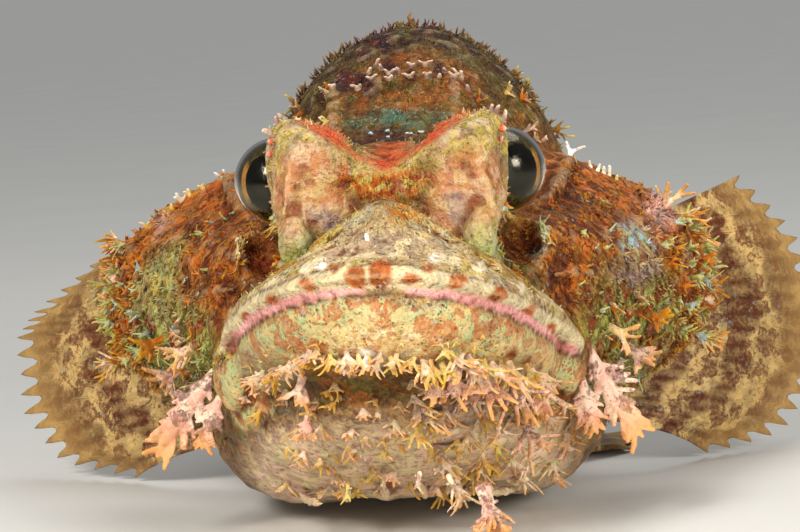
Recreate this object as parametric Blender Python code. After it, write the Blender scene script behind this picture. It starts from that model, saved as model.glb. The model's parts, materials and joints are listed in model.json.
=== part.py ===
"""A tasselled scorpionfish at life size, resting on its belly and fins, as a museum model shows it.

The flesh is one smooth form: a body lofted from side and top profiles, with the masses of the
jaws, brows, cheeks and gill covers blended into it.  Thin cuts part it into named pieces.
Fins, spines and skin tassels grow from it.  Sizes are in millimetres and are scaled to metres
when the meshes are made.  s runs back from the snout, x to the fish's left, z up from the floor.
"""

import math
import random

import bmesh
import bpy
import numpy as np
from mathutils import Matrix, Vector

MM = 0.001
GAP = 0.36  # clearance between pieces that touch
HALF_GAP = GAP / 2
FIELD_STEP = 1.5  # grid of the flesh's form
EVEN_STEP = 1.4  # grid of its evened surface
FLESH_TRIANGLES = 4600
COVER_CUT = 4.6  # how deep under its outer face a gill cover is parted from the cheek
HEAD_END, STEM_START = (108.0, 104.0), 242.0  # cuts across the body; the head's leans back at its foot

# Driving sizes of the fish
TOTAL_LENGTH = 340.0
STANDARD_LENGTH = 272.0
ORIGIN_S = 171.0  # this far behind the snout lies the model's origin
TAIL_SWING = 20.0  # how far the tail fin curls to the fish's left
TAIL_SWING_START = 150.0
NAPE_LEAN = 3.0  # how far the body stands to the fish's left behind its head

# Eyes
EYE_X, EYE_S, EYE_Z = 21.8, 50.0, 71.0
EYE_RADIUS = 8.6

# The mouth line is a half ellipse in a plane that slopes down towards the corners
MOUTH_HALF_WIDTH = 31.5
MOUTH_DEPTH = 48.0
MOUTH_FRONT_S = 3.0
MOUTH_FRONT_Z = 54.0
MOUTH_SLOPE = 0.405
MOUTH_TILT = 0.05  # the jaws sit a little lower on the fish's left

# Side and top profiles of the body: distance behind the snout against height or half width
TOP = ((15, 30, 45, 60, 72, 84, 96, 108, 122, 140, 165, 195, 225, 250, 272),
       (57, 60, 70, 75, 78, 87, 95, 99, 99, 95, 85, 70, 57, 50, 49))
BOTTOM = ((15, 30, 50, 70, 90, 110, 160, 178, 200, 225, 250, 272),
          (34, 22, 10, 4, 0, -1.5, -1.5, 2, 11, 20, 24.5, 25))
HALF_WIDTH = ((15, 30, 45, 60, 80, 100, 120, 140, 165, 195, 225, 250, 272),
              (22, 27, 29, 31, 33, 35.5, 36.5, 34, 28, 19, 11.5, 7, 5.5))
WIDEST_AT = ((15, 40, 70, 100, 130, 170, 272),
             (48, 46, 44, 46, 44, 42, 37))

# Lengths of the spines of the back fin
BACK_SPINES = (12, 18, 24, 27, 27, 26, 24, 22, 20, 19, 18, 20)

# Colours of the pieces
OLIVE, CREAM, RUST, TEAL = (0.36, 0.30, 0.12), (0.66, 0.56, 0.36), (0.42, 0.19, 0.08), (0.25, 0.33, 0.22)


def profile(keys, smoothing=21):
    """A smooth curve through rounded corners at the keyed stations."""
    fine = np.arange(-60.0, 400.0)
    line = np.interp(fine, *keys)
    kernel = np.hanning(smoothing)
    edge = smoothing // 2
    rounded = np.convolve(np.pad(line, edge, mode="edge"), kernel / kernel.sum(), "valid")
    return lambda s: np.interp(s, fine, rounded)


TOP_AT, BOTTOM_AT, WIDTH_AT, WIDEST_Z_AT = map(profile, (TOP, BOTTOM, HALF_WIDTH, WIDEST_AT))


def swing(s):
    """Sideways place of the body's middle, which bends to the fish's left behind the eyes and at the tail."""
    t = np.clip((s - TAIL_SWING_START) / (TOTAL_LENGTH - TAIL_SWING_START), 0, 1)
    lean = np.clip((s - 60) / 50, 0, 1)
    return NAPE_LEAN * lean * lean * (3 - 2 * lean) + TAIL_SWING * t**1.8


def mouth_line(angle, widen=0.0, lift=0.0):
    """A point of the mouth line; angle runs from -90 degrees at one corner to 90 at the other."""
    x = (MOUTH_HALF_WIDTH + widen) * math.sin(angle)
    s = MOUTH_FRONT_S + (MOUTH_DEPTH + widen) * (1 - math.cos(angle)) - widen
    return x, s, mouth_plane(x, s) + lift


def mouth_plane(x, s):
    return MOUTH_FRONT_Z - MOUTH_SLOPE * (s - MOUTH_FRONT_S) - MOUTH_TILT * x


# Signed distance forms: each is (distance function of x, s, z, lowest corner, highest corner)

def ball(centre, radii, pitch=0.0, yaw=0.0):
    """An ellipsoid; pitch tips its back end up and yaw turns its back end outwards, in degrees."""
    turn = Matrix.Rotation(math.radians(-yaw), 3, "Z") @ Matrix.Rotation(math.radians(pitch), 3, "X")
    a = np.array(turn.transposed(), np.float32)
    centre = np.array(centre, np.float32)
    radii = np.array(radii, np.float32)

    def distance(x, s, z):
        p = (x - centre[0], s - centre[1], z - centre[2])
        q = [a[i, 0] * p[0] + a[i, 1] * p[1] + a[i, 2] * p[2] for i in range(3)]
        k0 = np.sqrt(sum((q[i] / radii[i]) ** 2 for i in range(3)))
        k1 = np.sqrt(sum((q[i] / radii[i] ** 2) ** 2 for i in range(3)))
        return k0 * (k0 - 1) / np.maximum(k1, 1e-6)

    reach = radii.max()
    return distance, centre - reach, centre + reach


def tube(points, radii):
    """A tube through the points, its radius changing from point to point."""
    points = np.array(points, np.float32)
    radii = np.broadcast_to(np.array(radii, np.float32), (len(points),))

    def distance(x, s, z):
        nearest = None
        for a, b, ra, rb in zip(points, points[1:], radii, radii[1:]):
            d = b - a
            along = ((x - a[0]) * d[0] + (s - a[1]) * d[1] + (z - a[2]) * d[2]) / (d @ d)
            t = np.clip(along, 0, 1)
            away = (x - a[0] - t * d[0]) ** 2 + (s - a[1] - t * d[1]) ** 2 + (z - a[2] - t * d[2]) ** 2
            new = np.sqrt(away) - (ra + t * (rb - ra))
            nearest = new if nearest is None else np.minimum(nearest, new)
        return nearest

    return distance, points.min(0) - radii.max(), points.max(0) + radii.max()


def mirrored(form):
    distance, low, high = form
    return (lambda x, s, z: distance(-x, s, z),
            np.array([-high[0], low[1], low[2]]), np.array([-low[0], high[1], high[2]]))


def both_sides(form):
    return [form, mirrored(form)]


def body_loft():
    """The skull and trunk: superellipse sections between the side and top profiles."""
    front, back = 16.0, STANDARD_LENGTH

    def distance(x, s, z):
        middle = z - WIDEST_Z_AT(s)
        upper = TOP_AT(s) - WIDEST_Z_AT(s)
        lower = WIDEST_Z_AT(s) - BOTTOM_AT(s)
        across = np.abs(x - swing(s)) / WIDTH_AT(s)
        high = np.where(middle > 0, middle / upper, -middle / lower)
        power = np.where(middle > 0, 2.0, 2.3)
        r = np.maximum((across**power + high**power) ** (1 / power), 0.05)
        side = np.sqrt((x - swing(s)) ** 2 + middle**2) * (1 - 1 / r)
        return np.maximum(side, np.maximum(front - s, s - back))

    return distance, np.array([-60, front, -5]), np.array([60, back, 110])


def gill_cover():
    """A flared plate cut from an ellipsoid's wall, thinning towards its rounded back edge."""
    shell = ball((-22, 115, 42), (88, 75, 41))[0]

    def distance(x, s, z):
        thickness = 2.7 + 6.0 * np.clip((88 - s) / 12, 0, 1)
        plate = np.abs(shell(x, s, z) + thickness / 2) - thickness / 2
        edge = s - (107 - 16 * ((z - 46) / 28) ** 2)
        return np.maximum(np.maximum(plate, edge), np.maximum(58 - s, 24 - x))

    return distance, np.array([24, 56, 6]), np.array([68, 110, 74])


def mouth_frame(x, s, z):
    """How far out from the mouth's middle, as a share of the mouth line, and the drop below its plane."""
    ahead = np.maximum(51 - s, 0) / MOUTH_DEPTH
    out = np.sqrt((x / MOUTH_HALF_WIDTH) ** 2 + ahead**2) + 1e-6
    return out, ahead / out, mouth_plane(x, s) - z


def mouth_room():
    """The space below the mouth plane, cleared before the lower jaw is added."""
    def distance(x, s, z):
        out, _, drop = mouth_frame(x, s, z)
        return np.maximum(np.maximum(-drop * 0.9, (out - 1.2) * MOUTH_HALF_WIDTH), s - 50)

    return [(distance, np.array([-46, -8, 4]), np.array([46, 52, 56]))]


def lower_jaw():
    """A bowl that hangs from the mouth line, deepest at the chin."""
    def distance(x, s, z):
        out, forward, drop = mouth_frame(x, s, z)
        depth = 8.5 + 5.5 * forward**4
        r = ((out / 1.03) ** 3 + np.abs((drop - 2.5) / depth) ** 3) ** (1 / 3)
        size = np.sqrt(x**2 + np.maximum(51 - s, 0) ** 2 + (drop - 2.5) ** 2) + 1e-6
        wall = size * (1 - 1 / np.maximum(r, 0.05))
        return np.maximum(np.maximum(wall * 0.9, -drop - 3), s - 58)

    return [(distance, np.array([-40, 0, 4]), np.array([40, 60, 56]))]


def throat():
    return [ball((0, 40, 27), (20, 24, 11), pitch=-22), ball((0, 62, 24), (36, 32, 19), pitch=-12),
            *both_sides(ball((20, 84, 20), (22, 34, 19)))]


def snout():
    """The three sided face of the snout over the lip, which narrows up to the hump."""
    def distance(x, s, z):
        out, _, drop = mouth_frame(x, s, z)
        roof = z - 69.0 + 0.72 * (np.sqrt(x**2 + 9) - 3)
        face = -drop - 4.2 - 45 * (1.01 - out)
        return np.maximum(np.maximum(roof * 0.8, face * 0.7), np.maximum(s - 26, drop + 1))

    return distance, np.array([-30, 0, 40]), np.array([30, 28, 70])


def upper_jaw():
    """The arched lip over the mouth, the roof that slopes up from it and the hump of the snout."""
    turns = [math.radians(a) for a in range(-84, 85, 12)]
    centres = [mouth_line(a, widen=-1.6, lift=3.2 + 0.4 * abs(math.sin(a))) for a in turns]
    lip = tube(centres, [3.0 + 0.8 * abs(math.sin(a)) for a in turns])
    hump = ball((0, 22, 60), (8.5, 12, 8.8), pitch=12)
    slope = ball((0, 15, 54.5), (19, 13, 6.5), pitch=14)
    crest = tube([(4, 20.5, 64.4), (9, 20.5, 61.2), (13.5, 20.5, 57.2), (18.5, 22, 54), (25, 28, 49),
                  (30.5, 37, 43), (34, 45, 37)], [2.6, 2.7, 3.0, 3.6, 3.3, 3.2, 3.0])
    return [lip, hump, slope, snout(), *both_sides(crest)]


def jaw_ends():
    """The plates that cover the corners of the mouth."""
    return both_sides(ball((33.2, 48.5, 34.5), (3.8, 9, 8.5), pitch=-30, yaw=20))


def block(centre, radii, power):
    """A rounded block: an ellipsoid that is squarer as its power rises."""
    centre, radii = np.array(centre, np.float32), np.array(radii, np.float32)

    def distance(x, s, z):
        p = (x - centre[0], s - centre[1], z - centre[2])
        r = sum(np.abs(p[i] / radii[i]) ** power for i in range(3)) ** (1 / power)
        return np.sqrt(sum(q**2 for q in p)) * (1 - 1 / np.maximum(r, 0.05))

    return distance, centre - radii, centre + radii


def brows():
    """The broad pillars beside the snout with their flat tops, and the bridge between them."""
    bridge = ball((0, 48, 66), (14, 16, 13))
    web = tube([(11, 37.5, 76), (5, 38, 72), (0, 38.5, 69.5)], [5.5, 5.4, 5.2])
    mass = block((14.8, 44, 71.3), (7.8, 12, 12.2), 3.6)
    pillar = ball((14.0, 37.8, 65.5), (8.2, 7.2, 11), pitch=-6)
    top = tube([(13.5, 42, 80.3), (19.6, 43, 80.4)], [3.0, 3.1])
    orbit = ball((15.2, 52, 70.5), (7.6, 12, 11.5))
    return [bridge] + [f for form in (web, mass, pillar, top, orbit) for f in both_sides(form)]


def lobes():
    """The drops of skin that hang at the lower ends of the pillars."""
    return both_sides(ball((17.6, 30.2, 60), (3.9, 4.0, 6.4)))


def cheeks():
    cheek = ball((31, 68, 41), (14, 28, 22), yaw=20)
    ridge = tube([(23, 42, 59), (33, 58, 56), (46, 76, 50), (58, 93, 49)], [3.5, 4.0, 3.5, 2.5])
    shoulder = ball((32, 106, 36), (13, 15, 27))
    return [f for form in (cheek, ridge, shoulder) for f in both_sides(form)]


def nape():
    """Two low ridges that run back from between the eyes over the nape."""
    ridge = tube([(9, 62, 75), (12, 75, 78.5), (13, 90, 87)], [2.0, 2.3, 1.6])
    return both_sides(ridge)


def valley():
    """The V between the brows; its floor rises backwards."""
    def distance(x, s, z):
        floor = 74.5 + 0.27 * np.clip(s - 36, 0, 26)
        steep = (83.4 - floor) / 13.6
        line = floor + steep * (np.sqrt(x**2 + 4) - 2)
        return np.maximum((line - z) * 0.88, 0.8 * (26 - s))

    return distance, np.array([-20, 26, 72]), np.array([20, 62, 96])


def hollows():
    """The valley, the pits under the eyes and the creases beside the snout."""
    pit = ball((25.2, 41, 59), (4.4, 9, 5.6))
    crease = tube([(3, 29, 69), (8, 28, 66), (12, 27.5, 62.5), (16, 27.5, 59.5), (20, 28.5, 56.5),
                   (27, 36.5, 51.5)], [1.0, 1.4, 1.6, 1.8, 1.8, 1.8])
    return [valley(), *both_sides(pit), *both_sides(crease)]


class Field:
    """Signed distance to a smooth form, in mm, sampled on a grid of x, s and z."""

    def __init__(self, low, high, step):
        self.axes = [np.arange(a, b + step, step, dtype=np.float32) for a, b in zip(low, high)]
        self.value = np.full([len(a) for a in self.axes], 40.0, np.float32)

    def within(self, form, margin):
        distance, low, high = form
        spans = [slice(*np.searchsorted(axis, (a - margin, b + margin)))
                 for axis, a, b in zip(self.axes, low, high)]
        grid = [axis[span].reshape([-1 if i == j else 1 for j in range(3)])
                for i, (axis, span) in enumerate(zip(self.axes, spans))]
        return tuple(spans), distance(*grid)

    def add(self, forms, blend):
        for form in forms:
            spans, new = self.within(form, blend + 3)
            old = self.value[spans]
            h = np.clip(0.5 + 0.5 * (old - new) / blend, 0, 1)
            self.value[spans] = old + (new - old) * h - blend * h * (1 - h)

    def carve(self, forms, blend):
        for form in forms:
            spans, new = self.within(form, blend + 3)
            old = self.value[spans]
            h = np.clip(0.5 - 0.5 * (old + new) / blend, 0, 1)
            self.value[spans] = old + (-new - old) * h + blend * h * (1 - h)


def surface_of(field):
    """The zero surface of a field as points and quads, one point for each cell that it crosses."""
    value, axes = field.value, field.axes
    inside = value < 0
    corners = [(i, j, k) for i in (0, 1) for j in (0, 1) for k in (0, 1)]
    shape = [n - 1 for n in value.shape]
    count = sum(inside[i:i + shape[0], j:j + shape[1], k:k + shape[2]].astype(np.int8)
                for i, j, k in corners)
    cells = np.argwhere((count > 0) & (count < 8))
    number = np.full(shape, -1, np.int64)
    number[tuple(cells.T)] = np.arange(len(cells))
    total = np.zeros((len(cells), 3))
    crossings = np.zeros(len(cells))
    for a in corners:
        for axis in range(3):
            if a[axis]:
                continue
            b = tuple(a[i] + (i == axis) for i in range(3))
            at_a, at_b = cells + a, cells + b
            va, vb = value[tuple(at_a.T)], value[tuple(at_b.T)]
            crossed = (va < 0) != (vb < 0)
            t = va[crossed] / (va[crossed] - vb[crossed])
            ends = [np.stack([axes[i][at[crossed, i]] for i in range(3)], 1) for at in (at_a, at_b)]
            total[crossed] += ends[0] + (ends[1] - ends[0]) * t[:, None]
            crossings[crossed] += 1
    points = total / crossings[:, None]
    quads = []
    for axis in range(3):
        lower = [slice(None)] * 3
        upper = [slice(None)] * 3
        lower[axis], upper[axis] = slice(0, -1), slice(1, None)
        starts = np.argwhere(inside[tuple(lower)] != inside[tuple(upper)])
        side_a, side_b = (axis + 1) % 3, (axis + 2) % 3
        ring = []
        for da, db in ((-1, -1), (0, -1), (0, 0), (-1, 0)):
            at = starts.copy()
            at[:, side_a] += da
            at[:, side_b] += db
            ring.append(number[tuple(at.T)])
        quad = np.stack(ring, 1)
        leaving = inside[tuple(starts.T)]
        quads.append(np.where(leaving[:, None], quad, quad[:, ::-1]))
    return points, np.concatenate(quads)


def world(points):
    """Fish sizes in mm to the model's frame in metres."""
    points = np.asarray(points, float)
    return (points - (0, ORIGIN_S, 0)) * MM


def make_object(name, points, faces):
    mesh = bpy.data.meshes.new(name)
    mesh.from_pydata(world(points).tolist(), [], [list(map(int, f)) for f in faces])
    mesh.validate()
    obj = bpy.data.objects.new(name, mesh)
    bpy.context.scene.collection.objects.link(obj)
    return obj


def apply(obj):
    bpy.context.view_layer.update()
    graph = bpy.context.evaluated_depsgraph_get()
    mesh = bpy.data.meshes.new_from_object(obj.evaluated_get(graph))
    obj.modifiers.clear()
    obj.data = mesh


def remove(*objects):
    for obj in objects:
        bpy.data.objects.remove(obj)


def combine(obj, operation, others, keep=False):
    """A Boolean with closed meshes, which are removed afterwards unless they are kept."""
    group = bpy.data.collections.new("group")
    for other in others:
        group.objects.link(other)
    modifier = obj.modifiers.new(operation.title(), "BOOLEAN")
    modifier.operation = operation
    modifier.solver = "EXACT"
    modifier.operand_type = "COLLECTION"
    modifier.collection = group
    apply(obj)
    bpy.data.collections.remove(group)
    if not keep:
        remove(*others)


def copy_of(obj, name):
    new = bpy.data.objects.new(name, obj.data.copy())
    bpy.context.scene.collection.objects.link(new)
    return new


def keep_largest(obj):
    """Drops every separate surface but the one that encloses the most."""
    bm = bmesh.new()
    bm.from_mesh(obj.data)
    bmesh.ops.triangulate(bm, faces=bm.faces)
    unseen = set(bm.faces)
    islands = []
    while unseen:
        stack = [unseen.pop()]
        island = list(stack)
        while stack:
            for edge in stack.pop().edges:
                for face in edge.link_faces:
                    if face in unseen:
                        unseen.remove(face)
                        stack.append(face)
                        island.append(face)
        volume = sum(f.verts[0].co.cross(f.verts[1].co).dot(f.verts[2].co) for f in island)
        islands.append((abs(volume), len(islands), island))
    islands.sort(reverse=True)
    for _, _, island in islands[1:]:
        bmesh.ops.delete(bm, geom=island, context="FACES")
    bmesh.ops.delete(bm, geom=[v for v in bm.verts if not v.link_faces], context="VERTS")
    bm.to_mesh(obj.data)
    bm.free()


def finish_node(obj, name, colour, roughness=0.5):
    keep_largest(obj)
    obj.name = name
    obj.data.name = name
    material = bpy.data.materials.new(name)
    material.use_nodes = True
    shader = material.node_tree.nodes["Principled BSDF"]
    shader.inputs["Base Color"].default_value = (*colour, 1)
    shader.inputs["Roughness"].default_value = roughness
    obj.data.materials.clear()
    obj.data.materials.append(material)
    obj.data.shade_flat()


def slab(front, back, floor=0.0, roof=130.0):
    """A block between two upright or slanted planes, each given as s at the floor and at z 100."""
    half_width = 120.0
    corners = [(x, plane[0] + (plane[1] - plane[0]) * z / 100, z)
               for z in (floor, roof) for x in (-half_width, half_width) for plane in (front, back)]
    faces = [(0, 1, 3, 2), (4, 6, 7, 5), (0, 2, 6, 4), (1, 5, 7, 3), (0, 4, 5, 1), (2, 3, 7, 6)]
    return closed_object("slab", corners, faces)


def closed_object(name, points, faces):
    """A mesh object whose faces are turned to look outwards."""
    obj = make_object(name, points, faces)
    bm = bmesh.new()
    bm.from_mesh(obj.data)
    bmesh.ops.recalc_face_normals(bm, faces=bm.faces)
    bm.to_mesh(obj.data)
    bm.free()
    return obj


def prism(outline, near, far, place):
    """A closed prism on an outline of 2D points; place turns (u, v, near or far) into a 3D point."""
    count = len(outline)
    points = [place(u, v, end) for end in (near, far) for u, v in outline]
    faces = [tuple(range(count)), tuple(range(2 * count - 1, count - 1, -1))]
    faces += [(i, (i + 1) % count, (i + 1) % count + count, i + count) for i in range(count)]
    return closed_object("prism", points, faces)


def sphere_object(centre, radii, around, rings):
    bm = bmesh.new()
    bmesh.ops.create_uvsphere(bm, u_segments=around, v_segments=rings, radius=1)
    points = [(v.co.x * radii[0] + centre[0], v.co.y * radii[1] + centre[1],
               v.co.z * radii[2] + centre[2]) for v in bm.verts]
    faces = [[v.index for v in f.verts] for f in bm.faces]
    bm.free()
    return closed_object("sphere", points, faces)


def jaw_room(offset):
    """The lower jaw's share of the flesh: a half ellipse in plan, below the mouth plane."""
    wide, deep = 1.05 * MOUTH_HALF_WIDTH + offset, 1.05 * MOUTH_DEPTH + offset
    outline = [(wide * math.sin(math.radians(a)), 51 - deep * math.cos(math.radians(a)))
               for a in range(-88, 89, 8)]
    outline += [(wide, 51 + offset), (-wide, 51 + offset)]
    return prism(outline, -12, None, lambda x, s, z: (x, s, mouth_plane(x, s) + offset if z is None else z))


def cover_room(offset, side):
    """A gill cover's share of the flesh: a rounded prism outwards from the inner face of the plate."""
    outline = []
    for i in range(32):
        a = 2 * math.pi * i / 32
        c, w = math.cos(a), math.sin(a)
        r = (abs(c) ** 3 + abs(w) ** 3) ** (-1 / 3)
        outline.append((90 + (24 + offset) * r * c, 44 + (28 + offset) * r * w))
    room = prism(outline, 31 - offset, 90, lambda s, z, x: (side * x, s, z))
    inner = sphere_object((-22 * side, 115, 42), [r - COVER_CUT - offset for r in (88, 75, 41)], 40, 28)
    combine(room, "DIFFERENCE", [inner])
    return room


def sheet(front, back):
    """A closed sheet from two like grids of points, with both faces split along the same diagonals."""
    columns, rows = front.shape[:2]
    number = lambda j, k, side: (j * rows + k) + side * columns * rows
    faces = []
    for j in range(columns - 1):
        for k in range(rows - 1):
            a, b, c, d = [(j, k), (j + 1, k), (j + 1, k + 1), (j, k + 1)]
            halves = [(a, b, c), (a, c, d)] if (j + k) % 2 else [(a, b, d), (b, c, d)]
            for half in halves:
                faces.append([number(*p, 0) for p in half])
                faces.append([number(*p, 1) for p in reversed(half)])
    rim = [(j, 0) for j in range(columns - 1)] + [(columns - 1, k) for k in range(rows - 1)]
    rim += [(j, rows - 1) for j in range(columns - 1, 0, -1)] + [(0, k) for k in range(rows - 1, 0, -1)]
    for p, q in zip(rim, rim[1:] + rim[:1]):
        faces.append([number(*p, 0), number(*p, 1), number(*q, 1)])
        faces.append([number(*p, 0), number(*q, 1), number(*q, 0)])
    return closed_object("sheet", np.concatenate([front.reshape(-1, 3), back.reshape(-1, 3)]), faces)


def fin(bases, tips, rows, thick=(1.7, 0.8), web=(1.0, 0.6), notch=0.12, bow=(0, 0, 0)):
    """A fin of rays: the sheet stands up in a ridge along each ray and is scalloped between them."""
    bases, tips = np.array(bases, float), np.array(tips, float)
    rays = len(bases)
    at = np.linspace(0, rays - 1, 2 * rays - 1)
    spread = lambda ends: np.stack([np.interp(at, range(rays), ends[:, i]) for i in range(3)], 1)
    root, tip = spread(bases), spread(tips)
    is_ray = np.arange(2 * rays - 1) % 2 == 0
    reach = np.where(is_ray, 1.0, 1 - notch)
    t = np.linspace(0, 1, rows)[None, :, None] * reach[:, None, None]
    centre = root[:, None] + (tip - root)[:, None] * t + np.array(bow) * 4 * t * (1 - t)
    across = np.gradient(centre, axis=0)
    along = np.gradient(centre, axis=1)
    normal = np.cross(across, along)
    normal /= np.linalg.norm(normal, axis=2, keepdims=True)
    ends = np.where(is_ray[:, None], thick, web)[:, None, :]
    half = (ends[..., :1] + (ends[..., 1:] - ends[..., :1]) * t) / 2
    return sheet(centre + normal * half, centre - normal * half)


def tassel(root, down, facing, length, width, fingers, thickness=1.5, curl=0.15):
    """A fleshy flap: a palm that widens from its root into a fringe of blunt fingers."""
    down = Vector(down).normalized()
    across = down.cross(Vector(facing)).normalized()
    facing = across.cross(down)
    palm, fan = 0.52 * length, math.radians(16)

    def place(u, v, side):
        half = thickness * (0.5 - 0.22 * v / length)
        return root + across * u + down * v + facing * (side * half + curl * v * v / length)

    shape = [(-0.2 * width, -1.5), (0.2 * width, -1.5)]
    tips = []
    for i in range(fingers):
        left, right = [(i + share) / fingers - 0.5 for share in (0.06, 0.94)]
        shape += [(width * share, palm * (1 - 0.5 * share * share)) for share in (left, right)]
        middle = (left + right) / 2
        reach = (length - palm) * random.uniform(0.75, 1.1)
        u, v = width * middle + reach * math.sin(2.4 * fan * middle), palm + reach * math.cos(fan * middle)
        tips += [(u - 0.17 * width / fingers, v), (u + 0.17 * width / fingers, v)]
    shape += tips
    count, top = len(shape), 2 * fingers
    flat = [(0, 3 + k, 2 + k) for k in range(fingers - 1)] + [(0, 1, 1 + fingers)]
    flat += [(1, 3 + k, 2 + k) for k in range(fingers - 1, top - 1)]
    loop = [0, 1]
    for i in range(fingers - 1, -1, -1):
        a, b = 2 + 2 * i, 2 + top + 2 * i
        flat += [(a, a + 1, b + 1), (a, b + 1, b)]
        loop += [a + 1, b + 1, b, a]
    faces = [f for f in flat] + [tuple(i + count for i in reversed(f)) for f in flat]
    for a, b in zip(loop, loop[1:] + loop[:1]):
        faces += [(a, a + count, b + count), (a, b + count, b)]
    points = [place(u, v, side) for side in (1, -1) for u, v in shape]
    return closed_object("tassel", points, faces)


def spine(root, way, length, radius):
    """A short cone on six sides, its foot sunk into the skin."""
    way = Vector(way).normalized()
    across = way.cross(Vector((0, 0, 1)) if abs(way.z) < 0.9 else Vector((1, 0, 0))).normalized()
    other = way.cross(across)
    ring = [root - way * 1.5 + (across * math.cos(a) + other * math.sin(a)) * radius
            for a in (math.radians(60 * i) for i in range(6))]
    faces = [(i, (i + 1) % 6, 6) for i in range(6)] + [tuple(range(6))]
    return closed_object("spine", ring + [root + way * length], faces)


def hang(spot, lean, length, width, fingers, **more):
    """A tassel on the skin nearest to a spot; lean is added to the way out of the skin there."""
    root, out = surface_point(*spot)
    way = out * 0.55 + Vector(lean)
    across = way.cross(Vector((0, -1, 0.15)))
    return tassel(root, way, across.cross(way), length, width, fingers, **more)


def spike(spot, way, length):
    """A spine on the skin nearest to a spot, leaning a little outwards."""
    root, out = surface_point(*spot)
    return spine(root, Vector(way) + out * 0.3, length, radius=1.3)


for old in list(bpy.data.objects):
    bpy.data.objects.remove(old)

flesh = Field((-74, -8, -6), (84, 278, 106), FIELD_STEP)
flesh.add([body_loft()], 1.0)
flesh.add(cheeks(), 6.0)
flesh.add(nape(), 3.0)
flesh.add(brows(), 2.8)
flesh.add(upper_jaw(), 2.0)
flesh.carve(hollows(), 2.0)
flesh.add(lobes(), 0.9)
flesh.carve(mouth_room(), 0.8)
flesh.add(lower_jaw(), 0.8)
flesh.add(throat(), 4.0)
flesh.add(jaw_ends(), 1.5)
flesh.add(both_sides(gill_cover()), 2.5)


def surface_point(x, s, z):
    """The nearest point of the flesh's surface and the direction out of it."""
    p = np.array([x, s, z], float)

    def sample(q):
        i = [np.clip((q[a] - flesh.axes[a][0]) / FIELD_STEP, 0, len(flesh.axes[a]) - 1.001) for a in range(3)]
        low = [int(v) for v in i]
        f = [v - b for v, b in zip(i, low)]
        box = flesh.value[low[0]:low[0] + 2, low[1]:low[1] + 2, low[2]:low[2] + 2].astype(float)
        box = box[0] * (1 - f[0]) + box[1] * f[0]
        box = box[0] * (1 - f[1]) + box[1] * f[1]
        return box[0] * (1 - f[2]) + box[1] * f[2]

    for _ in range(12):
        steps = np.eye(3) * 0.8
        slope = np.array([sample(p + e) - sample(p - e) for e in steps]) / 1.6
        slope /= np.linalg.norm(slope) + 1e-9
        p = p - slope * np.clip(sample(p), -4, 4) * 0.8
    return Vector(p), Vector(slope)


whole = make_object("flesh", *surface_of(flesh))
even = whole.modifiers.new("Even", "REMESH")
even.mode = "VOXEL"
even.voxel_size = EVEN_STEP * MM
apply(whole)
reduce_faces = whole.modifiers.new("Fewer faces", "DECIMATE")
reduce_faces.ratio = FLESH_TRIANGLES / (2 * len(whole.data.polygons))
apply(whole)
floor = slab((-60, -60), (400, 400), floor=-60, roof=0)
combine(whole, "DIFFERENCE", [floor])

# A slightly larger copy of the flesh trims what grows from it
grown = copy_of(whole, "grown")
swell = grown.modifiers.new("Swell", "DISPLACE")
swell.mid_level = 0
swell.strength = GAP * MM
apply(grown)

# The flesh is parted into its nodes
jaw = copy_of(whole, "jaw")
combine(jaw, "INTERSECT", [jaw_room(-HALF_GAP)])
combine(whole, "DIFFERENCE", [jaw_room(HALF_GAP)])
covers = {}
for side in (1, -1):
    covers[side] = copy_of(whole, "cover")
    combine(covers[side], "INTERSECT", [cover_room(-HALF_GAP, side)])
    combine(whole, "DIFFERENCE", [cover_room(HALF_GAP, side)])
head, trunk, stem = whole, copy_of(whole, "trunk"), copy_of(whole, "stem")
before_trunk, behind_head = [tuple(s + gap for s in HEAD_END) for gap in (-HALF_GAP, HALF_GAP)]
before_stem, behind_trunk = [(STEM_START + gap,) * 2 for gap in (-HALF_GAP, HALF_GAP)]
combine(head, "INTERSECT", [slab((-60, -60), before_trunk, floor=-1)])
combine(trunk, "INTERSECT", [slab(behind_head, before_stem, floor=-1)])
combine(stem, "INTERSECT", [slab(behind_trunk, (400, 400), floor=-1)])
for side in (1, -1):
    socket = sphere_object((side * EYE_X, EYE_S, EYE_Z), [EYE_RADIUS + GAP] * 3, 18, 12)
    combine(head, "DIFFERENCE", [socket])

# Tassels and spines, each grown from one node
random.seed(4)
on_jaw = []
for i in range(14):
    turn = math.radians(-78 + 11.6 * i + random.uniform(-3, 3))
    left = max(math.sin(turn) * math.cos(turn) * 2, 0)
    spot = mouth_line(turn, widen=-1.5, lift=-13 + 3.5 * abs(math.sin(turn)) - random.uniform(0, 2.5))
    length = random.uniform(4.5, 8) + 7.5 * left**1.5 * random.uniform(0.6, 1)
    lean = (0.25 * math.sin(turn) + random.uniform(-0.25, 0.25), random.uniform(-0.35, 0), -1.0)
    width = length * random.uniform(0.5, 0.75)
    on_jaw.append(hang(spot, lean, length, width, 2 + (length > 7) + (length > 11)))
for x, z in ((3, 44), (-9, 41), (15, 40)):
    on_jaw.append(hang((x, 3, z), (0, 0, -0.6), 3.0, 2.4, 2, thickness=1.2))
combine(jaw, "UNION", on_jaw)

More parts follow.
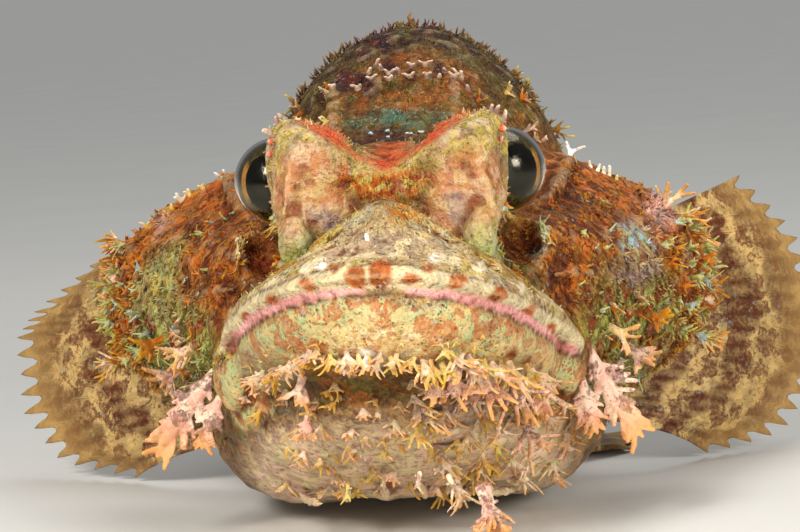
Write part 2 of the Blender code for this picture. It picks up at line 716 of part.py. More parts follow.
on_head = []
for side in (1, -1):
    # mouth corners: a long leaf over a smaller one
    on_head.append(hang((side * 42, 53, 33), (0.22 * side, -0.25, -1.1), 21, 12, 5, thickness=1.8))
    on_head.append(hang((side * 40, 55, 22), (0.5 * side, -0.2, -1.0), 11, 8, 3))
    # cheeks, brows, snout and nape
    on_head.append(hang((side * 33, 57, 55), (0.3 * side, -0.6, 0.1), 4.5, 3.5, 2))
    on_head.append(hang((side * 44, 58, 44), (0.5 * side, -0.9, -0.2), 6, 5, 3))
    on_head.append(hang((side * 50, 66, 32), (0.9 * side, -0.5, -0.6), 8, 7, 3))
    on_head.append(hang((side * 22, 42, 83), (0.3 * side, -0.2, 0.6), 3.5, 2.6, 2, thickness=1.2))
    on_head.append(hang((side * 12, 5, 60), (0.2 * side, -0.6, 0.3), 2.6, 2.2, 2, thickness=1.1))
    on_head.append(hang((side * 13, 88, 90), (0.3 * side, 0, 0.6), 4.5, 3.5, 2))
    for spot, way, length in (((33, 57, 57), (1, 0.1, 0.3), 3.5), ((19, 58, 83), (0.3, 1, 0.7), 3.0),
                              ((13, 80, 84), (0.1, 1, 0.5), 3.5), ((13, 97, 96), (0.1, 1, 0.3), 3.5)):
        on_head.append(spike((side * spot[0], *spot[1:]), (side * way[0], *way[1:]), length))
on_head.append(hang((-3, 9, 66), (0.1, -0.7, -0.3), 4.2, 1.6, 2, thickness=1.2))
combine(head, "UNION", on_head)

for side, cover in covers.items():
    on_cover = [hang((side * x, s, z), (0.9 * side, -0.1, -0.45), length, 0.8 * length, 3)
                for x, s, z, length in ((56, 78, 38, 8), (58, 88, 28, 8), (62, 95, 31, 9), (67, 100, 40, 7),
                                       (63, 88, 44, 6))]
    on_cover += [spike((side * x, s, z), (side * 0.8, 1, 0.2), length)
                 for x, s, z, length in ((65, 101, 50, 4), (58, 101, 61, 4), (55, 78, 51, 5))]
    combine(cover, "UNION", on_cover)

on_trunk = []
for side in (1, -1):
    for s in range(128, 238, 22):
        height = WIDEST_Z_AT(s) + 0.35 * (TOP_AT(s) - WIDEST_Z_AT(s))
        spot = (swing(s) + side * WIDTH_AT(s), s, height)
        on_trunk.append(hang(spot, (0.2 * side, 0.5, -0.3), 6.5, 5, 2))
combine(trunk, "UNION", on_trunk)

fins = {}

# Back fin: twelve lowered spines, then ten soft rays
bases, tips = [], []
for i, length in enumerate(BACK_SPINES):
    s = 112 + 88 * i / 11
    slope = math.atan2(TOP_AT(s + 10) - TOP_AT(s), 10)
    rise = slope + math.radians(12 + 54 * (i / 11) ** 2)
    bases.append((swing(s), s, TOP_AT(s) - 3))
    end = s + length * math.cos(rise)
    tips.append((swing(end), end, TOP_AT(s) - 3 + (length + 3) * math.sin(rise) + 3))
fins["fin_back_spiny"] = fin(bases, tips, 4, thick=(1.9, 0.7), web=(1.0, 0.6), notch=0.34)
bases, tips = [], []
for i in range(10):
    s = 206 + 33 * i / 9
    length = 30 - 0.35 * (i - 4) ** 2
    lean = math.radians(42 - 2.5 * i)
    end = s + length * math.cos(lean)
    bases.append((swing(s), s, TOP_AT(s) - 3))
    tips.append((swing(end), end, TOP_AT(s) - 3 + (length + 3) * math.sin(lean)))
fins["fin_back_soft"] = fin(bases, tips, 6, notch=0.07)

# Vent fin: three spines and five rays, folded back above the floor
bases, tips = [], []
for i in range(8):
    s = 200 + 26 * i / 7
    length = (10, 16, 20, 28, 30, 29, 26, 22)[i]
    lean = math.radians(-26 - 3 * i)
    end = s + length * math.cos(lean)
    bases.append((swing(s), s, BOTTOM_AT(s) + 3))
    tips.append((swing(end), end, max(BOTTOM_AT(s) + 3 + length * math.sin(lean), 1.0 + 0.6 * i)))
fins["fin_vent"] = fin(bases, tips, 5, notch=0.12)

# Tail fin: a rounded fan
bases, tips = [], []
for i in range(15):
    a = (i - 7) / 7
    angle = math.radians(27 * a)
    length = 72 - 4 * a * a - 2.5 * (abs(a) > 0.9)
    bases.append((swing(268), 268, 37 + 11 * a))
    end = 268 + length * math.cos(angle)
    tips.append((swing(end), end, 37 + 11 * a + length * math.sin(angle) * 0.72))
fins["fin_tail"] = fin(bases, tips, 6, notch=0.06)


def along(keys, t):
    """A point between keyed points, at a share t of the way."""
    keys = np.array(keys, float)
    at = np.linspace(0, 1, len(keys))
    return [float(np.interp(t, at, keys[:, i])) for i in range(3)]


# Breast fins: nineteen rays each, fanned out and back, the lowest ones resting on the floor
for side, lift in ((1, 1.0), (-1, 0.78)):
    rays = [i / 18 for i in range(19)]
    bases = [along([(34, 111, 48), (36, 111, 36), (35, 111, 24), (31, 112, 12)], t) for t in rays]
    tips = [along([(75, 146, 60 * lift), (88, 149, 47 * lift), (94, 149, 30), (92, 143, 14), (82, 132, 3),
                   (64, 122, 0.5)], t) for t in rays]
    bases = [(swing(s) + side * x, s, z) for x, s, z in bases]
    tips = [(side * x, s, z) for x, s, z in tips]
    name = "fin_breast_left" if side > 0 else "fin_breast_right"
    fins[name] = fin(bases, tips, 7, thick=(2.1, 1.1), web=(1.0, 0.7), notch=0.1,
                     bow=(side * 3, -5, 2))

# Belly fins: one spine and five rays each, spread on the floor beside the belly
for side in (1, -1):
    rays = [i / 5 for i in range(6)]
    bases = [along([(24, 112, 5.2), (17, 115, 2.4), (12, 117, 1.6)], t) for t in rays]
    tips = [along([(45, 132, 0.6), (47, 152, 0.6), (36, 166, 0.6), (22, 166, 0.7)], t) for t in rays]
    bases = [(swing(s) + side * x, s, z) for x, s, z in bases]
    tips = [(swing(s) + side * x, s, z) for x, s, z in tips]
    name = "fin_belly_left" if side > 0 else "fin_belly_right"
    fins[name] = fin(bases, tips, 6, thick=(2.0, 1.2), web=(1.1, 0.8), notch=0.1)

for name, piece in fins.items():
    combine(piece, "DIFFERENCE", [grown], keep=True)
    combine(piece, "DIFFERENCE", [slab((-60, -60), (400, 400), floor=-60, roof=0)])
remove(grown)

finish_node(head, "head", CREAM)
finish_node(jaw, "lower_jaw", CREAM)
finish_node(covers[1], "gill_cover_left", RUST)
finish_node(covers[-1], "gill_cover_right", RUST)
finish_node(trunk, "trunk", OLIVE)
finish_node(stem, "tail_stem", OLIVE)
for name, piece in fins.items():
    finish_node(piece, name, TEAL if "breast" in name else OLIVE)
for side, name in ((1, "eye_left"), (-1, "eye_right")):
    eye = sphere_object((side * EYE_X, EYE_S, EYE_Z), [EYE_RADIUS] * 3, 18, 12)
    finish_node(eye, name, (0.02, 0.015, 0.01), 0.08)
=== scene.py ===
"""The looks of a tasselled scorpionfish at life size: skin, skin tassels, fins, eyes, floor and light.

Forms are worked out in millimetres: s runs back from the snout, x to the fish's left and z up
from the floor.  They become metres, with the origin under the middle of the fish, in world().
"""

import json
import math
import random

import bpy
import numpy as np
from mathutils import Matrix, Vector, noise
from mathutils.bvhtree import BVHTree

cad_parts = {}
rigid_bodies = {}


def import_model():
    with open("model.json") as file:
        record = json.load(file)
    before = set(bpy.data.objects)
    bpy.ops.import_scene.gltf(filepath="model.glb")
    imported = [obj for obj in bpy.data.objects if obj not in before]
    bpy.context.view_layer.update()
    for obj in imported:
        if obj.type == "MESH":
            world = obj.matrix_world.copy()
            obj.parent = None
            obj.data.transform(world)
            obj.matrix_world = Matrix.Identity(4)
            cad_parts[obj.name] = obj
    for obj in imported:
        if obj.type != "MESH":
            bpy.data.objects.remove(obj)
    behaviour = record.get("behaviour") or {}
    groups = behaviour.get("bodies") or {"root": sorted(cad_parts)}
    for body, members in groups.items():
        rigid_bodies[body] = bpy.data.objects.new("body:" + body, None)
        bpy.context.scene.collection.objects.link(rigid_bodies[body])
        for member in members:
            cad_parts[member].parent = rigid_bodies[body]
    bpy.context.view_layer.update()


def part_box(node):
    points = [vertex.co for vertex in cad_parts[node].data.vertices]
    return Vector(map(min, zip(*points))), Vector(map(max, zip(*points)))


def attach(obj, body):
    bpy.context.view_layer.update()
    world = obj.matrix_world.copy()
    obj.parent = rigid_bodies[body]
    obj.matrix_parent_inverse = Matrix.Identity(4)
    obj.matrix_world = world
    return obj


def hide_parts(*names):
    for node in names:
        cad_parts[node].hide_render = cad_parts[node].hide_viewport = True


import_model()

MM = 0.001
scene = bpy.context.scene

# Driving sizes, as in the part
TOTAL_LENGTH = 340.0
STANDARD_LENGTH = 272.0
ORIGIN_S = 171.0
TAIL_SWING = 20.0
TAIL_SWING_START = 150.0
NAPE_LEAN = 3.0  # how far the body stands to the fish's left behind its head
MOUTH_HALF_WIDTH = 31.5
MOUTH_DEPTH = 48.0
MOUTH_FRONT_S = 3.0
MOUTH_BACK_S = MOUTH_FRONT_S + MOUTH_DEPTH
MOUTH_FRONT_Z = 54.0
MOUTH_SLOPE = 0.405
MOUTH_TILT = 0.05
SKULL_FRONT_S = 16.0

# The eyes' place and size come from their solids
EYE_LOW, EYE_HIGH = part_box("eye_left")
EYE_RADIUS = (EYE_HIGH.z - EYE_LOW.z) / 2 / MM
EYE_X = (EYE_LOW.x + EYE_HIGH.x) / 2 / MM
EYE_S = (EYE_LOW.y + EYE_HIGH.y) / 2 / MM + ORIGIN_S
EYE_Z = (EYE_LOW.z + EYE_HIGH.z) / 2 / MM

# Side and top profiles of the body: distance behind the snout against height or half width
TOP = ((15, 30, 45, 60, 72, 84, 96, 108, 122, 140, 165, 195, 225, 250, 272),
       (57, 60, 70, 75, 78, 87, 95, 99, 99, 95, 85, 70, 57, 50, 49))
BOTTOM = ((15, 30, 50, 70, 90, 110, 160, 178, 200, 225, 250, 272),
          (34, 22, 10, 4, 0, -1.5, -1.5, 2, 11, 20, 24.5, 25))
HALF_WIDTH = ((15, 30, 45, 60, 80, 100, 120, 140, 165, 195, 225, 250, 272),
              (22, 27, 29, 31, 33, 35.5, 36.5, 34, 28, 19, 11.5, 7, 5.5))
WIDEST_AT = ((15, 40, 70, 100, 130, 170, 272),
             (48, 46, 44, 46, 44, 42, 37))


STATIONS = np.arange(-60.0, 400.0)  # s, to well past both ends of the fish
SMOOTHING = 21  # how many stations a profile's corner is rounded over


def profile(keys):
    """A smooth curve through the keyed stations, with its corners rounded."""
    line = np.interp(STATIONS, *keys)
    kernel = np.hanning(SMOOTHING)
    rounded = np.convolve(np.pad(line, SMOOTHING // 2, mode="edge"), kernel / kernel.sum(), "valid")
    return lambda s: np.interp(s, STATIONS, rounded)


TOP_AT, BOTTOM_AT, WIDTH_AT, WIDEST_Z_AT = map(profile, (TOP, BOTTOM, HALF_WIDTH, WIDEST_AT))


def swing(s):
    """Sideways place of the body's middle, which bends to the left behind the eyes and at the tail."""
    t = np.clip((s - TAIL_SWING_START) / (TOTAL_LENGTH - TAIL_SWING_START), 0, 1)
    lean = np.clip((s - 60) / 50, 0, 1)
    return NAPE_LEAN * lean * lean * (3 - 2 * lean) + TAIL_SWING * t**1.8


def mouth_plane(x, s):
    return MOUTH_FRONT_Z - MOUTH_SLOPE * (s - MOUTH_FRONT_S) - MOUTH_TILT * x


def mouth_line(degrees, widen=0.0, lift=0.0):
    """A point of the mouth line, from -90 degrees at the right corner to 90 at the left."""
    angle = math.radians(degrees)
    x = (MOUTH_HALF_WIDTH + widen) * math.sin(angle)
    s = MOUTH_FRONT_S + (MOUTH_DEPTH + widen) * (1 - math.cos(angle)) - widen
    return x, s, mouth_plane(x, s) + lift


def world(points):
    """Fish sizes in mm to the model's frame in metres."""
    return (np.asarray(points, float) - (0, ORIGIN_S, 0)) * MM


# Forms: each is (signed distance function of x, s and z, lowest corner, highest corner)

def ball(centre, radii, pitch=0.0, yaw=0.0):
    """An ellipsoid; pitch tips its back end up and yaw turns its back end outwards, in degrees."""
    turn = Matrix.Rotation(math.radians(-yaw), 3, "Z") @ Matrix.Rotation(math.radians(pitch), 3, "X")
    a = np.array(turn.transposed(), np.float32)
    centre = np.array(centre, np.float32)
    radii = np.array(radii, np.float32)

    def distance(x, s, z):
        p = (x - centre[0], s - centre[1], z - centre[2])
        q = [a[i, 0] * p[0] + a[i, 1] * p[1] + a[i, 2] * p[2] for i in range(3)]
        k0 = np.sqrt(sum((q[i] / radii[i]) ** 2 for i in range(3)))
        k1 = np.sqrt(sum((q[i] / radii[i] ** 2) ** 2 for i in range(3)))
        return k0 * (k0 - 1) / np.maximum(k1, 1e-6)

    reach = radii.max()
    return distance, centre - reach, centre + reach


def tube(points, radii):
    """A tube through the points, its radius changing from point to point."""
    points = np.array(points, np.float32)
    radii = np.broadcast_to(np.array(radii, np.float32), (len(points),))

    def distance(x, s, z):
        nearest = None
        for a, b, ra, rb in zip(points, points[1:], radii, radii[1:]):
            d = b - a
            along = ((x - a[0]) * d[0] + (s - a[1]) * d[1] + (z - a[2]) * d[2]) / (d @ d)
            t = np.clip(along, 0, 1)
            away = (x - a[0] - t * d[0]) ** 2 + (s - a[1] - t * d[1]) ** 2 + (z - a[2] - t * d[2]) ** 2
            new = np.sqrt(away) - (ra + t * (rb - ra))
            nearest = new if nearest is None else np.minimum(nearest, new)
        return nearest

    return distance, points.min(0) - radii.max(), points.max(0) + radii.max()


def mirrored(form):
    distance, low, high = form
    return (lambda x, s, z: distance(-x, s, z),
            np.array([-high[0], low[1], low[2]]), np.array([-low[0], high[1], high[2]]))


def both_sides(*forms):
    return [side for form in forms for side in (form, mirrored(form))]


def body_loft():
    """The skull and trunk: superellipse sections between the side and top profiles."""
    def distance(x, s, z):
        middle = z - WIDEST_Z_AT(s)
        upper = TOP_AT(s) - WIDEST_Z_AT(s)
        lower = WIDEST_Z_AT(s) - BOTTOM_AT(s)
        across = np.abs(x - swing(s)) / WIDTH_AT(s)
        high = np.where(middle > 0, middle / upper, -middle / lower)
        power = np.where(middle > 0, 2.0, 2.3)
        r = np.maximum((across**power + high**power) ** (1 / power), 0.05)
        side = np.sqrt((x - swing(s)) ** 2 + middle**2) * (1 - 1 / r)
        return np.maximum(side, np.maximum(SKULL_FRONT_S - s, s - STANDARD_LENGTH))

    return distance, np.array([-60, SKULL_FRONT_S, -5]), np.array([60, STANDARD_LENGTH, 110])


def gill_cover():
    """A flared plate cut from an ellipsoid's wall, thinning towards its rounded back edge."""
    shell = ball((-22, 115, 42), (88, 75, 41))[0]

    def distance(x, s, z):
        thickness = 2.7 + 6.0 * np.clip((88 - s) / 12, 0, 1)
        plate = np.abs(shell(x, s, z) + thickness / 2) - thickness / 2
        edge = s - (107 - 16 * ((z - 46) / 28) ** 2)
        return np.maximum(np.maximum(plate, edge), np.maximum(58 - s, 24 - x))

    return distance, np.array([24, 56, 6]), np.array([68, 110, 74])


def mouth_frame(x, s, z):
    """How far out from the mouth's middle, as a share of the mouth line, and the drop below its plane."""
    ahead = np.maximum(MOUTH_BACK_S - s, 0) / MOUTH_DEPTH
    out = np.sqrt((x / MOUTH_HALF_WIDTH) ** 2 + ahead**2) + 1e-6
    return out, ahead / out, mouth_plane(x, s) - z


def mouth_room():
    """The space below the mouth plane, cleared before the lower jaw is added."""
    def distance(x, s, z):
        out, _, drop = mouth_frame(x, s, z)
        return np.maximum(np.maximum(-drop * 0.9, (out - 1.2) * MOUTH_HALF_WIDTH), s - 50)

    return [(distance, np.array([-46, -8, 4]), np.array([46, 52, 56]))]


def lower_jaw():
    """A bowl that hangs from the mouth line, deepest at the chin."""
    def distance(x, s, z):
        out, forward, drop = mouth_frame(x, s, z)
        depth = 8.5 + 5.5 * forward**4
        r = ((out / 1.03) ** 3 + np.abs((drop - 2.5) / depth) ** 3) ** (1 / 3)
        size = np.sqrt(x**2 + np.maximum(MOUTH_BACK_S - s, 0) ** 2 + (drop - 2.5) ** 2) + 1e-6
        wall = size * (1 - 1 / np.maximum(r, 0.05))
        return np.maximum(np.maximum(wall * 0.9, -drop - 3), s - 58)

    return [(distance, np.array([-40, 0, 4]), np.array([40, 60, 56]))]


def throat():
    return [ball((0, 40, 27), (20, 24, 11), pitch=-22), ball((0, 62, 24), (36, 32, 19), pitch=-12),
            *both_sides(ball((20, 84, 20), (22, 34, 19)))]


def snout():
    """The three sided face of the snout over the lip, which narrows up to the hump."""
    def distance(x, s, z):
        out, _, drop = mouth_frame(x, s, z)
        roof = z - 69.0 + 0.72 * (np.sqrt(x**2 + 9) - 3)
        face = -drop - 4.2 - 45 * (1.01 - out)
        return np.maximum(np.maximum(roof * 0.8, face * 0.7), np.maximum(s - 26, drop + 1))

    return distance, np.array([-30, 0, 40]), np.array([30, 28, 70])


def upper_jaw():
    """The arched lip over the mouth, the roof that slopes up from it and the hump of the snout."""
    turns = range(-84, 85, 12)
    side = [abs(math.sin(math.radians(a))) for a in turns]
    line = [mouth_line(a, -1.6, 3.2 + 0.4 * k) for a, k in zip(turns, side)]
    lip = tube(line, [3.0 + 0.8 * k for k in side])
    hump = ball((0, 22, 60), (8.5, 12, 8.8), pitch=12)
    slope = ball((0, 15, 54.5), (19, 13, 6.5), pitch=14)
    crest = tube([(4, 20.5, 64.4), (9, 20.5, 61.2), (13.5, 20.5, 57.2), (18.5, 22, 54), (25, 28, 49),
                  (30.5, 37, 43), (34, 45, 37)], [2.6, 2.7, 3.0, 3.6, 3.3, 3.2, 3.0])
    return [lip, hump, slope, snout(), *both_sides(crest)]


def jaw_ends():
    """The plates that cover the corners of the mouth."""
    return both_sides(ball((33.2, 48.5, 34.5), (3.8, 9, 8.5), pitch=-30, yaw=20))


def block(centre, radii, power=4.0):
    """A rounded block: an ellipsoid that is squarer as its power rises."""
    centre, radii = np.array(centre, np.float32), np.array(radii, np.float32)

    def distance(x, s, z):
        p = (x - centre[0], s - centre[1], z - centre[2])
        r = sum(np.abs(p[i] / radii[i]) ** power for i in range(3)) ** (1 / power)
        return np.sqrt(sum(q**2 for q in p)) * (1 - 1 / np.maximum(r, 0.05))

    return distance, centre - radii, centre + radii


def brows():
    """The broad pillars beside the snout with their flat tops, and the bridge between them."""
    return [ball((0, 48, 66), (14, 16, 13)),
            *both_sides(tube([(11, 37.5, 76), (5, 38, 72), (0, 38.5, 69.5)], [5.5, 5.4, 5.2]),
                        block((14.8, 44, 71.3), (7.8, 12, 12.2), 3.6),
                        ball((14.0, 37.8, 65.5), (8.2, 7.2, 11), pitch=-6),
                        tube([(13.5, 42, 80.3), (19.6, 43, 80.4)], [3.0, 3.1]),
                        ball((15.2, 52, 70.5), (7.6, 12, 11.5)))]


def lobes():
    """The drops of skin that hang at the lower ends of the pillars."""
    return both_sides(ball((17.6, 30.2, 60), (3.9, 4.0, 6.4)))


def cheeks():
    return both_sides(ball((31, 68, 41), (14, 28, 22), yaw=20),
                      tube([(23, 42, 59), (33, 58, 56), (46, 76, 50), (58, 93, 49)], [3.5, 4.0, 3.5, 2.5]),
                      ball((32, 106, 36), (13, 15, 27)))


def nape():
    """Two low ridges that run back from between the eyes over the nape."""
    return both_sides(tube([(9, 62, 75), (12, 75, 78.5), (13, 90, 87)], [2.0, 2.3, 1.6]))


def valley(lift=0.0, back=62):
    """The V between the brows; its floor rises backwards."""
    def distance(x, s, z):
        floor = 74.5 + 0.27 * np.clip(s - 36, 0, 26)
        steep = (83.4 - floor) / 13.6
        line = floor + steep * (np.sqrt(x**2 + 4) - 2) + lift
        return np.maximum((line - z) * 0.88, np.maximum(0.8 * (26 - s), s - back))

    return distance, np.array([-20, 26, 70]), np.array([20, 62, 96])


def hollows():
    """The valley, the pits under the eyes and the creases beside the snout."""
    crease = tube([(3, 29, 69), (8, 28, 66), (12, 27.5, 62.5), (16, 27.5, 59.5), (20, 28.5, 56.5),
                   (27, 36.5, 51.5)], [1.0, 1.4, 1.6, 1.8, 1.8, 1.8])
    return [valley(), *both_sides(ball((25.2, 41, 59), (4.4, 9, 5.6)), crease)]


# Finer forms of the face, which only the skin has

MOUTH_TURNS = range(-86, 87, 4)


def along_mouth(widen, lift, radius, reach=86):
    turns = [a for a in MOUTH_TURNS if abs(a) <= reach]
    return tube([mouth_line(a, widen, lift) for a in turns], radius)


def level(middle, more=0.0, over=1.0):
    """A size that changes by more from the middle of the face to a distance across it."""
    return lambda x: middle + more * np.clip(np.abs(x) / over, 0, 1)


def level_line(lift, half, reach, side=0):
    """A line on the face at a height over the mouth plane, as far round as reach in degrees."""
    def distance(x, s, z):
        out, _, drop = mouth_frame(x, s, z)
        ahead = np.maximum(MOUTH_BACK_S - s, 0.1) / MOUTH_DEPTH
        turn = np.degrees(np.arctan2(x / MOUTH_HALF_WIDTH, ahead))
        near = np.abs(-drop - lift(x)) - half(x)
        far = np.maximum(np.abs(turn) - reach, 10 * (0.72 - out))
        if side:
            far = np.maximum(far, 6 - side * turn)
        return np.maximum(near, far)

    return distance, np.array([-44, -8, 20]), np.array([44, 52, 70])


def lips():
    """The rim above the mouth, the grained band inside it and the lip of the lower jaw."""
    return [along_mouth(-0.4, 0.3, 1.0, 74), along_mouth(-0.5, -3.2, 1.2, 80)]


def lip_creases():
    """The grooves over the upper lip and the line where the mouth closes."""
    turns = [a for a in MOUTH_TURNS if abs(a) <= 66]
    side = [abs(math.sin(math.radians(a))) for a in turns]
    groove = [mouth_line(a, 1.3 + 0.9 * k, 4.9 - 1.4 * k) for a, k in zip(turns, side)]
    return [tube(groove, 0.75), along_mouth(1.2, -1.2, 0.7, 70)]


def wrinkles():
    """Folds across the valley and down the snout's flanks, the nostrils and the pit behind the valley."""
    folds = [tube([(-8, s, z + 3.7), (0, s + 1.5, z + 0.2), (8, s, z + 3.7)], 0.6)
             for s, z in ((37.5, 74.8), (41, 75.8), (45, 76.8), (50, 78.2))]
    flank = both_sides(tube([(7, 17.5, 65.0), (13.5, 18.5, 59.0), (20, 20.5, 54.5), (28, 29, 46.5)], 0.5),
                       tube([(9, 14.5, 62), (14, 16, 57.6), (20, 19, 53), (27, 26.5, 47)], 0.45))
    nostrils = [ball(spot, (1.1, 1.4, 1.1))
                for spot in ((-7.8, 10.5, 61.0), (-5.5, 9.0, 61.3), (0.7, 8.4, 62.0))]
    pit = ball((0, 69, 81.5), (11, 7, 4.5))
    return [*folds, *flank, *nostrils, pit]


def ridges():
    """Bony ridges of the head, which show through the skin, and the rims round the eyes."""
    rim = [(EYE_X + 0.3 + 0.6 * math.sin(3 * a), EYE_S + 9.1 * math.cos(a), EYE_Z + 9.1 * math.sin(a))
           for a in (math.radians(d) for d in range(0, 361, 20))]
    return both_sides(tube(rim, 1.1),
                      tube([(17.3, 33, 77.5), (18.8, 31.5, 70), (20.4, 31, 63)], 0.7),
                      tube([(31, 43, 51), (36, 52, 50), (43, 63, 47)], [0.6, 1.0, 0.8]),
                      tube([(28, 62, 62), (33, 74, 66), (36, 88, 70)], [1.4, 1.8, 1.2]),
                      tube([(37, 60, 56), (45, 70, 47), (53, 82, 40)], [1.0, 1.3, 0.9]),
                      tube([(50, 82, 52), (56, 92, 54), (60, 100, 56)], [1.0, 1.4, 0.8]),
                      tube([(53, 80, 44), (60, 92, 43), (63.5, 101, 42)], [1.0, 1.4, 0.8]),
                      tube([(50, 76, 36), (58, 88, 33), (62, 97, 31)], [1.0, 1.4, 0.8]))


def throat_folds():
    """Lengthwise folds of the throat and the rays that spread under the gill covers."""
    lengths = [tube([(x, 20, 17 - 0.02 * x * x), (x * 1.3, 46, 8.5), (x * 1.5, 70, 4.5)], [0.7, 1.0, 0.6])
               for x in (3, 9, 15)]
    return both_sides(*lengths)


FAR_AWAY = 40.0  # the distance in mm that an empty field starts with


class Field:
    """Signed distance to a smooth form, in mm, sampled on a grid of x, s and z."""

    def __init__(self, axes):
        self.axes = [np.asarray(axis, np.float32) for axis in axes]
        self.value = np.full([len(a) for a in self.axes], FAR_AWAY, np.float32)

    def within(self, form, margin):
        distance, low, high = form
        spans = [slice(*np.searchsorted(axis, (a - margin, b + margin)))
                 for axis, a, b in zip(self.axes, low, high)]
        grid = [axis[span].reshape([-1 if i == j else 1 for j in range(3)])
                for i, (axis, span) in enumerate(zip(self.axes, spans))]
        return tuple(spans), distance(*grid)

    def add(self, forms, blend):
        for form in forms:
            spans, new = self.within(form, blend + 3)
            old = self.value[spans]
            h = np.clip(0.5 + 0.5 * (old - new) / blend, 0, 1)
            self.value[spans] = old + (new - old) * h - blend * h * (1 - h)

    def carve(self, forms, blend):
        for form in forms:
            spans, new = self.within(form, blend + 3)
            old = self.value[spans]
            h = np.clip(0.5 - 0.5 * (old + new) / blend, 0, 1)
            self.value[spans] = old + (-new - old) * h + blend * h * (1 - h)

    def surface(self):
        """The zero surface as points and quads, one point for each cell that it crosses."""
        value, axes = self.value, self.axes
        for axis in range(3):
            end_on = np.moveaxis(value, axis, 0)
            end_on[0] = end_on[-1] = 1.0
        inside = value < 0
        corners = [(i, j, k) for i in (0, 1) for j in (0, 1) for k in (0, 1)]
        shape = [n - 1 for n in value.shape]
        count = sum(inside[i:i + shape[0], j:j + shape[1], k:k + shape[2]].astype(np.int8)
                    for i, j, k in corners)
        cells = np.argwhere((count > 0) & (count < 8))
        number = np.full(shape, -1, np.int64)
        number[tuple(cells.T)] = np.arange(len(cells))
        total = np.zeros((len(cells), 3))
        crossings = np.zeros(len(cells))
        for a in corners:
            for axis in range(3):
                if a[axis]:
                    continue
                b = tuple(a[i] + (i == axis) for i in range(3))
                at_a, at_b = cells + a, cells + b
                va, vb = value[tuple(at_a.T)], value[tuple(at_b.T)]
                crossed = (va < 0) != (vb < 0)
                t = va[crossed] / (va[crossed] - vb[crossed])
                ends = [np.stack([axes[i][at[crossed, i]] for i in range(3)], 1) for at in (at_a, at_b)]
                total[crossed] += ends[0] + (ends[1] - ends[0]) * t[:, None]
                crossings[crossed] += 1
        quads = []
        for axis in range(3):
            lower = [slice(None)] * 3
            upper = [slice(None)] * 3
            lower[axis], upper[axis] = slice(0, -1), slice(1, None)
            starts = np.argwhere(inside[tuple(lower)] != inside[tuple(upper)])
            side_a, side_b = (axis + 1) % 3, (axis + 2) % 3
            ring = []
            for da, db in ((-1, -1), (0, -1), (0, 0), (-1, 0)):
                at = starts.copy()
                at[:, side_a] += da
                at[:, side_b] += db
                ring.append(number[tuple(at.T)])
            quad = np.stack(ring, 1)
            leaving = inside[tuple(starts.T)]
            quads.append(np.where(leaving[:, None], quad, quad[:, ::-1]))
        return total / crossings[:, None], np.concatenate(quads)


def relaxed(points, quads, rounds=1, share=0.5):
    """Points moved part of the way to the mean of their neighbours."""
    a = np.concatenate([quads[:, i] for i in range(4)])
    b = np.concatenate([quads[:, (i + 1) % 4] for i in range(4)])
    count = np.maximum(np.bincount(a, minlength=len(points)), 1)[:, None]
    for _ in range(rounds):
        mean = np.stack([np.bincount(a, points[b, i], len(points)) for i in range(3)], 1) / count
        points = points + (mean - points) * share
    return points


# Colours, as eye values from 0 to 255, and the paint of the fish's areas

def tint(red, green, blue):
    """A colour by eye values, as the light values that a shader takes."""
    return tuple((v / 255 / 12.92) if v <= 10 else ((v / 255 + 0.055) / 1.055) ** 2.4
                 for v in (red, green, blue))


CREAM = tint(214, 186, 128)
YELLOW_CREAM = tint(204, 184, 96)
WHITE_CREAM = tint(228, 212, 172)
GREY_CREAM = tint(206, 196, 162)
WHITE = tint(236, 236, 230)
PEACH = tint(210, 158, 110)
SALMON = tint(224, 88, 52)
DEEP_SALMON = tint(214, 112, 56)
ORANGE = tint(206, 118, 26)
YELLOW = tint(208, 160, 40)
OCHRE = tint(166, 108, 38)
RUST = tint(160, 66, 20)
RED_BROWN = tint(104, 36, 14)
MAROON = tint(54, 16, 14)
OLIVE = tint(120, 108, 40)
YELLOW_GREEN = tint(176, 178, 90)
MINT = tint(188, 192, 142)
TEAL = tint(98, 130, 104)
BLUE_WHITE = tint(176, 204, 210)
LAVENDER = tint(192, 166, 136)
MAUVE = tint(150, 124, 118)
PINK = tint(242, 186, 184)
SHELL_PINK = tint(228, 178, 158)
WHITE_PINK = tint(234, 206, 182)
TASSEL_ORANGE = tint(222, 156, 74)
PURPLE_BROWN = tint(104, 64, 60)
PILLAR_BROWN = tint(190, 122, 70)
PILLAR_CREAM = tint(194, 164, 108)
PILLAR_PINK = tint(206, 172, 138)
NAPE_BROWN = tint(102, 74, 26)
NAPE_OLIVE = tint(100, 88, 30)
FIN_EDGE = tint(190, 156, 96)
BROWN = tint(122, 78, 40)
SPOT_BROWN = tint(190, 106, 26)
BLACK = tint(18, 12, 9)

# The layers of paint, as they are where no area sets them
LAYERS = {"ground": OLIVE, "second": OCHRE, "mark": RED_BROWN, "tip": YELLOW_CREAM,
          "amounts": (0.7, 0.4, 0.5)}


def paint_of(ground, second, mark, amounts, tip=YELLOW_CREAM):
    """Two mingled grounds, the marks' and tips' colours, and the shares of blotches, streaks and flecks."""
    return dict(ground=ground, second=second, mark=mark, tip=tip, amounts=amounts)


